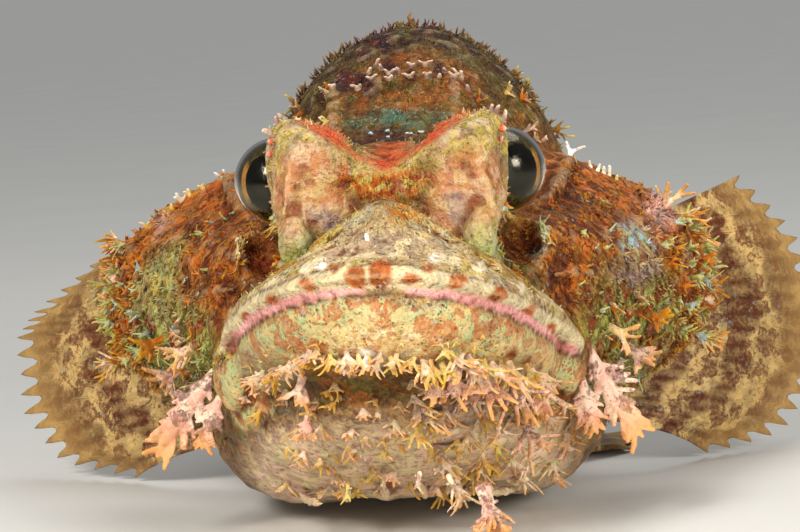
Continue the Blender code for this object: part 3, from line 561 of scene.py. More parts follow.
def areas():
    """Areas of the skin, later ones over earlier: forms, softness in mm, and what they set."""
    listed = []

    def add(forms, softness, *paint):
        listed.append((forms, softness, paint_of(*paint)))

    # Belly, back and nape
    add([ball((0, 190, 0), (60, 130, 30))], 12, CREAM, LAVENDER, PURPLE_BROWN, (0.6, 0.1, 0.3))
    add([ball((0, 150, 85), (26, 70, 20))], 10, OCHRE, OLIVE, MAROON, (0.9, 0.3, 0.6))
    add([ball((0, 108, 92), (32, 28, 24))], 6, NAPE_BROWN, NAPE_OLIVE, MAROON, (0.9, 0.5, 0.2), OCHRE)
    add([ball((3, 86, 88), (15, 14, 8))], 3, OCHRE, NAPE_OLIVE, RUST, (0.5, 0.6, 0.2), YELLOW)
    add([ball((2, 76, 80.5), (11, 6, 2.0))], 1.4, TEAL, OLIVE, MAROON, (0.5, 0.6, 0.7), BLUE_WHITE)
    add([ball((0, 69, 79), (13, 5.0, 4.5))], 2, MAROON, RED_BROWN, BLACK, (0.5, 0.2, 0.9), BLUE_WHITE)

    # Cheeks, the pits under the eyes and the gill covers
    add(both_sides(ball((36, 80, 55), (24, 38, 18))), 7, ORANGE, OCHRE, RED_BROWN, (0.9, 0.9, 0.4),
        YELLOW)
    add(both_sides(ball((36, 56, 52), (11, 16, 8))), 5, ORANGE, OCHRE, RED_BROWN, (0.8, 1.0, 0.7),
        YELLOW)
    add(both_sides(ball((25.4, 40, 59), (6, 9, 6))), 1.5, RED_BROWN, RUST, MAROON, (0.7, 0.6, 0.6),
        ORANGE)
    # Painted shade: a near black wedge down each pit under the eye, beside the lobe
    add(both_sides(tube([(29, 41, 66), (25.5, 41, 61), (21.5, 38, 56)], 2.4)), 1.5, MAROON, RED_BROWN,
        BLACK, (0.6, 0.2, 0.6), RUST)
    add([ball((28.5, 40, 56), (3.2, 8, 2.2)), ball((30.5, 44, 60), (1.6, 6, 2.4))], 1.2, MINT,
        BLUE_WHITE, RED_BROWN, (0.9, 0.6, 0.6), BLUE_WHITE)
    add(both_sides(ball((46, 70, 36), (20, 28, 13))), 6, YELLOW_GREEN, OLIVE, RUST, (1.0, 0.6, 0.8),
        MINT)
    add(both_sides(ball((58, 98, 46), (12, 16, 28))), 5, OCHRE, ORANGE, RED_BROWN, (0.9, 0.7, 0.5),
        YELLOW)
    add([ball((54, 95, 57), (4.5, 12, 5))], 2.5, MAUVE, SHELL_PINK, RED_BROWN, (0.3, 0.6, 0.4),
        SHELL_PINK)
    add([ball((47, 76, 53), (5, 10, 4))], 3, MINT, BLUE_WHITE, RUST, (0.7, 0.5, 0.9), BLUE_WHITE)
    add([tube([(39, 60, 47), (48, 72, 46.5), (60, 92, 48)], 1.6)], 1.2, LAVENDER, MAUVE, RED_BROWN,
        (0.3, 0.8, 0.5))
    add([tube([(-31, 88, 69), (-40, 93, 67), (-47, 95, 63), (-51, 96, 57)], 4.0)], 2.5, ORANGE, YELLOW,
        RUST, (0.4, 0.5, 0.3), YELLOW)
    add([ball((-50, 95, 59), (3.2, 10, 3.6))], 1.5, MAUVE, SHELL_PINK, RED_BROWN, (0.3, 0.5, 0.4))
    add([ball((-46, 80, 49), (8, 14, 9))], 4, MINT, YELLOW_CREAM, OLIVE, (0.8, 0.5, 0.9), MINT)
    add([ball((-48.6, 85, 50), (1.8, 6, 1.5))], 0.8, WHITE, BLUE_WHITE, MAUVE, (0.1, 0, 0.3), WHITE)
    add([tube([(-33, 60, 66), (-37, 63, 60), (-40, 66, 53)], 1.3)], 1.0, MAUVE, BLUE_WHITE, OLIVE,
        (0.3, 0.8, 0.5), BLUE_WHITE)

    # Throat, brows and pillars
    add([ball((0, 46, 8), (36, 58, 22))], 6, WHITE_PINK, WHITE_CREAM, PURPLE_BROWN, (0.3, 0.05, 0.1),
        PEACH)
    add(both_sides(ball((17, 46, 75), (12, 18, 14))), 4, YELLOW_CREAM, LAVENDER, OLIVE,
        (0.6, 0.35, 0.8), CREAM)
    add(both_sides(ball((15, 35, 66), (9.5, 9, 12))), 2, PILLAR_CREAM, PILLAR_PINK, PILLAR_BROWN,
        (0.8, 0.1, 0.3), PEACH)
    add(both_sides(ball((12.4, 31, 65.5), (2.4, 5, 3.0))), 1.2, LAVENDER, MAUVE, MAUVE, (0.5, 0.0, 0.2))
    add(both_sides(ball((18, 31, 58.5), (5, 5, 5.5))), 2, YELLOW_GREEN, MINT, OLIVE, (0.15, 0.1, 0.6))

    # Snout and the V between the brows
    add([ball((0, 13, 58), (27, 12.5, 12))], 2, CREAM, GREY_CREAM, BROWN, (0.35, 0.7, 0.8))
    add(both_sides(tube([(6, 21, 65), (13.5, 20.5, 60), (18.5, 22, 56.5), (25, 28, 51), (31, 38, 44.5),
         (35, 46, 38)], 2.6)), 1.2, YELLOW, YELLOW_CREAM, BROWN, (0.6, 1.0, 1.0))
    add([ball((-1, 9, 61), (12, 8, 3.6))], 2.5, WHITE_CREAM, LAVENDER, PURPLE_BROWN, (0.5, 0.2, 0.6))
    add([ball((4, 18, 66.5), (4, 6, 2.4))], 2.0, TASSEL_ORANGE, YELLOW_CREAM, ORANGE, (0.6, 0.8, 0.5))
    add(both_sides(tube([(10, 40, 82), (5, 38, 77), (0, 35, 73)], 4.5)), 2, YELLOW_CREAM, CREAM, OLIVE,
        (0.4, 0.5, 0.9))
    add([valley(-1.0, 57)], 0.7, SALMON, DEEP_SALMON, ORANGE, (0.25, 0.4, 0.02), SALMON)
    add([ball((0, 32, 71), (8, 7, 3.2))], 2, YELLOW_CREAM, ORANGE, RUST, (1.0, 0.7, 0.5))

    # Lips and lower jaw
    add([along_mouth(0.8, 6.4, 2.2, 84)], 1.2, YELLOW_CREAM, WHITE_CREAM, BROWN, (0.5, 0.7, 1.0))
    add([level_line(level(2.3, -0.6, 26), level(2.2), 84)], 0.6, WHITE_CREAM, GREY_CREAM, OCHRE,
        (0.15, 0.1, 0.35))
    add([along_mouth(0, -7.5, 6.3)], 1.5, CREAM, MINT, PILLAR_BROWN, (1.0, 0.0, 0.7), PEACH)
    add([ball((-2, 4, 43), (10, 6, 6))], 4, WHITE_CREAM, CREAM, SPOT_BROWN, (0.55, 0.0, 0.6))
    add([ball((28, 24, 33), (11, 16, 8))], 4, MINT, CREAM, PILLAR_BROWN, (0.6, 0.1, 0.4))
    add([ball((-28, 24, 33), (11, 16, 8))], 4, MAUVE, MINT, OCHRE, (0.5, 0.1, 0.4))

    # Spots, streaks, patches and bars
    for x, lift, wide, tall in LIP_SPOTS:
        turn = math.degrees(math.asin(x / MOUTH_HALF_WIDTH))
        add([ball(mouth_line(turn, 0, lift), (wide, 4, tall))], 0.3,
            SPOT_BROWN, SPOT_BROWN, BROWN, (0.5, 0, 0.8))
    draw = random.Random(23)
    for _ in range(NAPE_STREAKS):
        x, z = draw.uniform(-24, 28), draw.uniform(86, 103)
        add([tube([(x, 76, z), (x, 125, z + 2)], draw.uniform(1.0, 2.6))], 0.9,
            MAROON, RED_BROWN, BLACK, (0.3, 0.4, 0.5), MAUVE)
    # White patches, of which the two on the chin's front are painted highlights
    for x, s, z, size in WHITE_PATCHES_AND_HIGHLIGHTS:
        add([ball((x, s, z), (size * 1.5, 4, size))], 0.4, WHITE, WHITE_CREAM, MAUVE, (0.1, 0, 0.3))
    for turn in range(40, 84, 8):
        bar = [mouth_line(turn, 0, -4), mouth_line(turn + 3, 0, -9), mouth_line(turn + 1, -2, -13)]
        add([tube(bar, 0.55)], 0.4, WHITE_CREAM, CREAM, OLIVE, (0.1, 0, 0.1))
        add([ball(mouth_line(turn + 5, 0, -8.5), (1.3, 4, 1.9))], 0.6, OCHRE, BROWN, RUST, (0.5, 0, 0.4))
    for height in (29, 25, 21, 17, 13):
        add([ball((11, 22, height), (6, 16, 0.8))], 0.8, PURPLE_BROWN, MAUVE, MAROON, (0.3, 0, 0.2))

    # The pink line where the lips meet, and the dark lines under and over the upper lip, painted shade in
    # the grooves there
    for side, reach in ((-1, 80), (1, 82)):
        line = level_line(level(-0.2), level(0.2, 0.60, 15), reach, side)
        add([line], 0.25, PINK, PINK, WHITE_PINK, (0.2, 0, 0))
    # Painted shade along the groove over the upper lip and the line where the mouth closes
    for lift, reach in ((level(-1.1), 86), (level(4.7, -1.3, 26), 84)):
        add([level_line(lift, level(0.15), reach)], 0.28, BROWN, RED_BROWN, MAROON, (0.4, 0, 0.3))
    return listed


# The brown spots of the upper lip: place across, height over the mouth line, half width and half height
LIP_SPOTS = ((-29.9, 1.5, 1.344, 1.25), (-26.4, 1.5, 1.568, 1.5), (-20.7, 2.0, 1.456, 1.25),
             (-13.8, 2.5, 1.904, 1.125), (-4.9, 2.4, 1.904, 1.875), (-0.5, 3.1, 2.128, 2.625),
             (4.9, 2.5, 1.792, 1.0), (12.8, 2.8, 2.24, 1.25), (8.2, 4.7, 0.896, 0.75),
             (-9.0, 4.6, 0.784, 0.75), (19.8, 2.4, 2.24, 1.5), (25.2, 1.8, 1.792, 1.5),
             (29.2, 1.6, 1.456, 1.375))
NAPE_STREAKS = 34
# White patches of the snout and jaw, the two on the chin's front painted highlights: place, and half height
WHITE_PATCHES_AND_HIGHLIGHTS = ((-11.9, 8, 59.1, 1.3), (-14.1, 9, 58.0, 0.9), (9.6, 8, 59.0, 1.1), (12.6, 9, 58.2, 0.8),
                 (-4.1, 4, 41.8, 1.3), (-7.8, 4, 40.5, 1.0), (17, 14, 56.0, 0.9), (-19, 16, 54.0, 0.9),
                 (24, 22, 51.0, 0.9), (-25, 24, 49.5, 0.9))


noise.seed_set(29)  # without a seed the noise's vectors change from run to run


def wandering(points, size, reach):
    """A smooth random push for each point, so that areas end along uneven edges."""
    return np.array([noise.noise_vector(Vector(p) / size) for p in points]) * reach


def painted(points):
    """The layers of paint at points of the skin."""
    loose = (points + wandering(points, 9.0, 2.6) + wandering(points, 3.0, 0.9)).T
    close = (points + wandering(points, 2.2, 0.45)).T
    layers = {name: np.tile(np.array(value, float), (len(points), 1)) for name, value in LAYERS.items()}
    for forms, soft, values in AREAS:
        x, s, z = close if soft < 1 else loose
        depth = np.min([form[0](x, s, z) for form in forms], 0)
        weight = np.clip(0.5 - depth / (2 * soft), 0, 1)[:, None]
        weight = weight * weight * (3 - 2 * weight)
        for name, value in values.items():
            layers[name] += (np.array(value) - layers[name]) * weight
    return layers


AREAS = areas()


# Meshes

def make_object(name, points, faces, material):
    mesh = bpy.data.meshes.new(name)
    mesh.from_pydata(world(points).tolist(), [], faces if isinstance(faces, list) else faces.tolist())
    mesh.validate()
    mesh.shade_smooth()
    mesh.materials.append(material)
    obj = bpy.data.objects.new(name, mesh)
    scene.collection.objects.link(obj)
    return obj


def set_attribute(mesh, name, kind, values):
    layer = mesh.attributes.new(name, kind, "POINT")
    field = {"FLOAT": "value", "FLOAT_VECTOR": "vector", "FLOAT_COLOR": "color"}[kind]
    values = np.asarray(values, np.float32)
    if kind == "FLOAT_COLOR":
        values = np.concatenate([values, np.ones((len(values), 1), np.float32)], 1)
    layer.data.foreach_set(field, values.ravel())


def streaming(points):
    """Places pressed together along the fibres of the skin, which run down and out, in metres."""
    side = np.tanh(points[:, :1] / 7)
    way = np.concatenate([0.62 * side, 0.32 + 0 * side, -0.72 + 0 * side], 1)
    along_way = (points * way).sum(1, keepdims=True)
    return (points - way * along_way * 0.85) * MM


def set_layers(mesh, layers):
    for name, values in layers.items():
        set_attribute(mesh, name, "FLOAT_COLOR", values)


def normals_of(mesh):
    normals = np.empty(len(mesh.vertices) * 3, np.float32)
    mesh.vertex_normals.foreach_get("vector", normals)
    return normals.reshape(-1, 3)


# Shaders

class Value:
    """One output of a node.  Sums, differences and products of values add Math nodes to its tree."""

    def __init__(self, nodes, socket):
        self.nodes = nodes
        self.socket = socket

    def math(self, operation, first, second):
        return self.nodes.node("ShaderNodeMath", dict(operation=operation), {0: first, 1: second})

    def __add__(self, other):
        return self.math("ADD", self, other)

    def __sub__(self, other):
        return self.math("SUBTRACT", self, other)

    def __rsub__(self, other):
        return self.math("SUBTRACT", other, self)

    def __mul__(self, other):
        return self.math("MULTIPLY", self, other)

    __radd__ = __add__
    __rmul__ = __mul__


class Nodes:
    """A node tree that is built from Python expressions."""

    def __init__(self, tree):
        self.tree = tree

    def node(self, kind, settings=None, sockets=None, output=0):
        """A node with its settings made first, then the values or links of its sockets."""
        node = self.tree.nodes.new(kind)
        for name, value in (settings or {}).items():
            setattr(node, name, value)
        for name, value in (sockets or {}).items():
            if isinstance(value, Value):
                self.tree.links.new(value.socket, node.inputs[name])
            else:
                node.inputs[name].default_value = value
        return Value(self, node.outputs[output])

    def vector(self, operation, first, second):
        """A sum or difference of two vectors, or a vector scaled by a number."""
        socket = "Scale" if operation == "SCALE" else 1
        return self.node("ShaderNodeVectorMath", dict(operation=operation), {0: first, socket: second})


class Paint(Nodes):
    """A material's nodes, with the patterns that the finishes share."""

    def __init__(self, name):
        self.material = bpy.data.materials.new(name)
        self.material.use_nodes = True
        super().__init__(self.material.node_tree)
        self.shader = self.tree.nodes["Principled BSDF"]
        self.place = self.node("ShaderNodeTexCoord", output="Object")

    def mix(self, mask, first, second, blend="MIX"):
        """A colour between two colours, or one laid over the other."""
        settings = dict(data_type="RGBA", blend_type=blend)
        first, second = [(*c, 1) if isinstance(c, tuple) and len(c) == 3 else c for c in (first, second)]
        return self.node("ShaderNodeMix", settings, {0: mask, 6: first, 7: second}, 2)

    def stain(self, mask, colour, second):
        """A colour with a second one multiplied into it under a mask."""
        return self.mix(mask, colour, self.mix(1.0, colour, second, "MULTIPLY"))

    def noise(self, size, detail=2.0, rough=0.5, bend=0.0, place=None):
        """Smooth noise whose features are about size mm across."""
        sockets = {"Vector": place or self.place, "Scale": 1 / (size * MM), "Detail": detail,
                   "Roughness": rough, "Distortion": bend}
        return self.node("ShaderNodeTexNoise", None, sockets, "Fac")

    def cells(self, size, feature="F1", place=None):
        """Cells about size mm apart."""
        sockets = {"Vector": place or self.place, "Scale": 1 / (size * MM)}
        return self.node("ShaderNodeTexVoronoi", dict(feature=feature), sockets, "Distance")

    def step(self, value, low, high):
        """A soft step from 0 at low to 1 at high, or down where low is the greater."""
        settings = dict(interpolation_type="SMOOTHSTEP", clamp=True)
        if low <= high:
            return self.node("ShaderNodeMapRange", settings, {0: value, 1: low, 2: high})
        return 1 - self.node("ShaderNodeMapRange", settings, {0: value, 1: high, 2: low})

    def attribute(self, name, output="Color"):
        return self.node("ShaderNodeAttribute", dict(attribute_name=name), None, output)

    def warped(self, size, reach):
        """The place, pushed about by noise, for patterns with uneven edges."""
        push = self.node("ShaderNodeTexNoise", None,
                         {"Vector": self.place, "Scale": 1 / (size * MM), "Detail": 1.0}, "Color")
        centred = self.vector("SUBTRACT", push, (0.5, 0.5, 0.5))
        return self.vector("ADD", self.place, self.vector("SCALE", centred, reach * MM))

    def finish(self, colour, roughness, height, depth, **constants):
        """Links the finish; depth is the bump's height in mm and constants go on the shader itself."""
        sockets = {"Strength": 1.0, "Distance": depth * MM, "Height": height}
        bump = self.node("ShaderNodeBump", None, sockets, "Normal")
        for name, value in (("Base Color", colour), ("Roughness", roughness), ("Normal", bump)):
            if isinstance(value, Value):
                self.tree.links.new(value.socket, self.shader.inputs[name])
            else:
                self.shader.inputs[name].default_value = (*value, 1) if name == "Base Color" else value
        for name, value in constants.items():
            self.shader.inputs[name.replace("_", " ")].default_value = value
        return self.material


def flesh_material(name, tips, bump_depth, rough, deepen):
    """Mottled skin from the painted layers, with painted shade in the skin's hollows and painted light on
    its rises; on flaps and fins the tip colour comes in along them.
    """
    paint = Paint(name)
    ground, second, mark, tip = [paint.attribute(layer) for layer in ("ground", "second", "mark", "tip")]
    amounts = paint.node("ShaderNodeSeparateColor", None, {0: paint.attribute("amounts")})
    blotches, streaks, flecks = [Value(paint, amounts.socket.node.outputs[i]) for i in range(3)]
    wavy = paint.warped(2.6, 2.6)
    grain = paint.noise(1.1, 3, 0.65)

    # Two grounds mingled in ragged patches, with paler and deeper grains
    patch = paint.noise(4.2, 4, 0.65, 0.8)
    colour = paint.mix(paint.step(patch, 0.44, 0.56), ground, second)
    colour = paint.mix(paint.step(grain, 0.54, 0.72) * 0.28, colour, WHITE_CREAM)
    colour = paint.stain(paint.step(grain, 0.46, 0.34) * 0.55, colour, OCHRE)

    # Blotches with broken edges
    spots = paint.step(paint.cells(4.6, place=wavy), 0.56, 0.34)
    chosen = paint.step(paint.noise(6.0, 5, 0.7, 1.0), 0.44, 0.60)
    edge = paint.noise(0.9, 3, 0.7)
    blotch = paint.step(spots * 0.42 + chosen * 0.42 + edge * 0.55, 0.60, 0.72) * blotches
    colour = paint.mix(blotch * (0.45 + 0.55 * paint.step(edge, 0.35, 0.62)), colour, mark)
    small = paint.step(paint.cells(2.2, place=wavy), 0.36, 0.20)
    small = small * paint.step(paint.noise(3.3, 2), 0.52, 0.62)
    colour = paint.mix(small * blotches * 0.6, colour, paint.mix(0.5, mark, OCHRE, "MULTIPLY"))

    # Fibres that run down the cheeks and the snout
    flow = paint.attribute("flow", "Vector")
    fibre = paint.noise(0.85, 3, 0.6, 0.4, flow)
    colour = paint.stain(paint.step(fibre, 0.46, 0.38) * streaks * 0.70, colour, RUST)
    colour = paint.mix(paint.step(fibre, 0.58, 0.68) * streaks * 0.70, colour, tip)

    # Dark cracks, dark pocks and pale glints
    cracks = paint.step(paint.cells(2.3, "DISTANCE_TO_EDGE", place=wavy), 0.055, 0.015)
    cracks = cracks * paint.step(paint.noise(2.7, 2), 0.50, 0.60) * streaks
    colour = paint.mix(cracks * 0.8, colour, MAROON)
    pocks = paint.step(paint.cells(0.95), 0.34, 0.20) * paint.step(paint.noise(2.4, 1), 0.50, 0.60)
    colour = paint.mix(pocks * flecks * 0.9, colour, BLACK)
    glints = paint.step(paint.cells(1.7, place=wavy), 0.30, 0.16)
    glints = glints * paint.step(paint.noise(4.1, 1), 0.54, 0.64)
    colour = paint.mix(glints * flecks * 0.75, colour, BLUE_WHITE)

    if tips:
        reach = paint.attribute("reach", "Fac")
        colour = paint.mix(paint.step(reach, 0.35, 0.95) * 0.85, colour, tip)
    else:
        # Painted shade: hollows of the skin stained darker with ochre; painted light: raised skin made
        # paler
        hollow = paint.attribute("hollow", "Fac")
        colour = paint.stain(paint.step(hollow, 0.06, 0.80) * 0.72, colour, OCHRE)
        colour = paint.mix(paint.step(hollow, -0.15, -0.8) * 0.25, colour, WHITE_CREAM)
    colour = paint.mix(deepen, colour, colour, "MULTIPLY")
    fine = paint.noise(0.5, 2, 0.6)
    height = grain * 0.7 + fine * 0.3 + paint.cells(1.8, "SMOOTH_F1", place=wavy) * 0.6
    height = height - blotch * 0.12 - cracks * 0.4 + paint.step(fibre, 0.3, 0.7) * streaks * 0.5
    sheen = 0.34 + 0.26 * paint.step(grain, 0.3, 0.7)
    return paint.finish(colour, sheen if rough is None else rough, height, bump_depth,
                        Subsurface_Weight=0.06, Subsurface_Radius=(0.004, 0.002, 0.0012),
                        Subsurface_Scale=0.4, Specular_IOR_Level=0.18)


SKIN = flesh_material("mottled_skin", tips=False, bump_depth=0.8, rough=None, deepen=0.45)
FLAPS = flesh_material("flap_skin", tips=True, bump_depth=0.25, rough=0.42, deepen=0.2)
FINS = flesh_material("fin_skin", tips=True, bump_depth=0.3, rough=0.40, deepen=0.5)


# Skin

SKIN_INSET = 0.5
EYE_CLEARANCE = 0.1
# The painted shade in a hollow is full at this depth
HOLLOW_DEPTH = 0.30  # how far below its surroundings a point is at the bottom of a hollow

# How far the solid form, the skin and the flaps stay above the floor
FLESH_CLEARANCE, SKIN_CLEARANCE, FLAP_CLEARANCE = 0.25, 0.1, 0.15

flesh = Field((np.concatenate([np.arange(-72, -44, 1.2), np.arange(-44, 44, 0.8), np.arange(44, 74, 1.2)]),
               np.concatenate([np.arange(-6, 62, 0.8), np.arange(62, 112, 1.3), np.arange(112, 278, 2.6)]),
               np.concatenate([np.arange(-3, 20, 1.2), np.arange(20, 86, 0.8), np.arange(86, 106, 1.2)])))
flesh.add([body_loft()], 1.0)
flesh.add(cheeks(), 6.0)
flesh.add(nape(), 3.0)
flesh.add(brows(), 2.8)
flesh.add(upper_jaw(), 2.0)
flesh.carve(hollows(), 2.0)
flesh.add(lobes(), 0.9)
flesh.carve(mouth_room(), 0.8)
flesh.add(lower_jaw(), 0.8)
flesh.add(throat(), 4.0)
flesh.add(jaw_ends(), 1.5)
flesh.add(both_sides(gill_cover()), 2.5)
flesh.value += SKIN_INSET
flesh.add(ridges(), 2.0)
flesh.add(lips(), 1.0)
flesh.carve(lip_creases(), 0.5)
flesh.carve(wrinkles(), 0.7)
flesh.add(throat_folds(), 1.2)
flesh.carve(both_sides(ball((EYE_X, EYE_S, EYE_Z), [EYE_RADIUS + EYE_CLEARANCE] * 3)), 0.4)
flesh.value = np.maximum(flesh.value, -flesh.axes[2][None, None, :] + FLESH_CLEARANCE)

skin_points, skin_quads = flesh.surface()
skin_points = relaxed(skin_points, skin_quads, rounds=1)
skin = make_object("skin", skin_points, skin_quads, SKIN)


def relief(points):
    """How far each point of the skin stands out, in mm: warts, folds and pits on an even scale."""
    heights = []
    for p in points:
        v = Vector(p)
        warts = 0.5 - noise.voronoi(v / 3.2)[0][0]
        heights.append(0.45 * warts + 0.55 * noise.fractal(v / 6.0, 0.8, 2.1, 3))
    return np.array(heights)


def smoothness(points):
    """Where the skin is smooth: the lips and the eyes' rims."""
    x, s, z = points.T
    out, _, drop = mouth_frame(x, s, z)
    lips_here = np.exp(-((drop + 1.5) / 4.5) ** 2) * np.clip((out - 0.8) * 6, 0, 1) * (s < 50)
    smooth = 1 - lips_here
    for side in (1, -1):
        away = np.sqrt((x - side * EYE_X) ** 2 + (s - EYE_S) ** 2 + (z - EYE_Z) ** 2) - EYE_RADIUS
        smooth = smooth - np.exp(-away.clip(0, None) / 1.5)
    return np.clip(smooth, 0.05, 1)


skin_normals = normals_of(skin.data)
rise = (relief(skin_points) * smoothness(skin_points) - 0.15)[:, None]
skin_points = skin_points + skin_normals * rise
skin_points[:, 2] = np.maximum(skin_points[:, 2], SKIN_CLEARANCE)
skin.data.vertices.foreach_set("co", world(skin_points).astype(np.float32).ravel())
skin.data.update()
set_layers(skin.data, painted(skin_points))
set_attribute(skin.data, "flow", "FLOAT_VECTOR", streaming(skin_points))
skin_normals = normals_of(skin.data)
# How far each point lies below the smoothed skin, or above it, for the painted shade in hollows and the
# painted light on rises
sunk = ((relaxed(skin_points, skin_quads, rounds=8) - skin_points) * skin_normals).sum(1)
set_attribute(skin.data, "hollow", "FLOAT", np.clip(sunk / HOLLOW_DEPTH, -1, 1))
print("skin", len(skin_quads), "faces")


# Fins

FIN_STEPS = 6


def fin_object(name, bases, tips, rows, thick, web, notch, bow, layers_at):
    """A fin of rays: ridges along the rays, a scalloped and slightly pleated skin between them."""
    bases, tips = np.array(bases, float), np.array(tips, float)
    rays = len(bases)
    at = np.linspace(0, rays - 1, (rays - 1) * FIN_STEPS + 1)
    spread = lambda ends: np.stack([np.interp(at, range(rays), ends[:, i]) for i in range(3)], 1)
    root, tip = spread(bases), spread(tips)
    ray = (0.5 + 0.5 * np.cos(2 * math.pi * at)) ** 1.5
    ragged = np.array([noise.noise(Vector((a * 1.7, rays, 0))) for a in at])
    reach = 1 - notch * (1 - ray) - 0.035 * np.abs(ragged)
    t = np.linspace(0, 1, rows)[None, :, None] * reach[:, None, None]
    centre = root[:, None] + (tip - root)[:, None] * t + np.array(bow) * 4 * t * (1 - t)
    normal = np.cross(np.gradient(centre, axis=0), np.gradient(centre, axis=1))
    normal /= np.linalg.norm(normal, axis=2, keepdims=True)
    width = lambda ends: ends[0] + (ends[1] - ends[0]) * t
    half = (width(web) + (width(thick) - width(web)) * ray[:, None, None]) / 2
    half = half * np.sqrt(np.clip(1.06 - np.linspace(0, 1, rows) ** 6, 0, 1))[None, :, None]
    waves = 0.35 * np.sin(t * 14 + at[:, None, None] * 0.8) * t
    centre = centre + normal * waves
    count = centre.shape[0] * rows
    points = np.concatenate([(centre + normal * way * half).reshape(-1, 3) for way in (1, -1)])
    index = np.arange(count).reshape(-1, rows)
    quad = np.stack([index[:-1, :-1], index[1:, :-1], index[1:, 1:], index[:-1, 1:]], 2).reshape(-1, 4)
    rim = np.concatenate([index[:-1, 0], index[-1, :-1], index[:0:-1, -1], index[0, :0:-1]])
    after = np.roll(rim, -1)
    wall = np.stack([rim, rim + count, after + count, after], 1)
    obj = make_object(name, points, np.concatenate([quad, quad[:, ::-1] + count, wall]), FINS)
    outward = np.tile(np.broadcast_to(t, centre.shape[:2] + (1,)).reshape(-1), 2)
    on_ray = np.tile(np.repeat(ray, rows), 2)
    set_layers(obj.data, layers_at(points, outward, on_ray))
    set_attribute(obj.data, "reach", "FLOAT", outward**2)
    return obj


def banded(ground, band, mark, tip, bands, amounts):
    """Paint of a fin: uneven bands across the rays."""
    def layers_at(points, outward, on_ray):
        wander = np.array([noise.noise(Vector(p) / 7.0) for p in points])
        wave = 0.5 + 0.5 * np.sin(outward * bands * 2 * math.pi + wander * 3.0)
        weight = np.clip((wave - 0.45) * 4, 0, 1)[:, None] * (0.6 + 0.4 * on_ray[:, None])
        mixed = np.array(ground) + (np.array(band) - np.array(ground)) * weight
        full = lambda value: np.tile(np.array(value, float), (len(points), 1))
        return {"ground": mixed, "second": mixed * 0.75, "mark": full(mark), "tip": full(tip),
                "amounts": full(amounts)}
    return layers_at


def along(keys, t):
    """A point between keyed points, at a share t of the way."""
    keys = np.array(keys, float)
    at = np.linspace(0, 1, len(keys))
    return [float(np.interp(t, at, keys[:, i])) for i in range(3)]


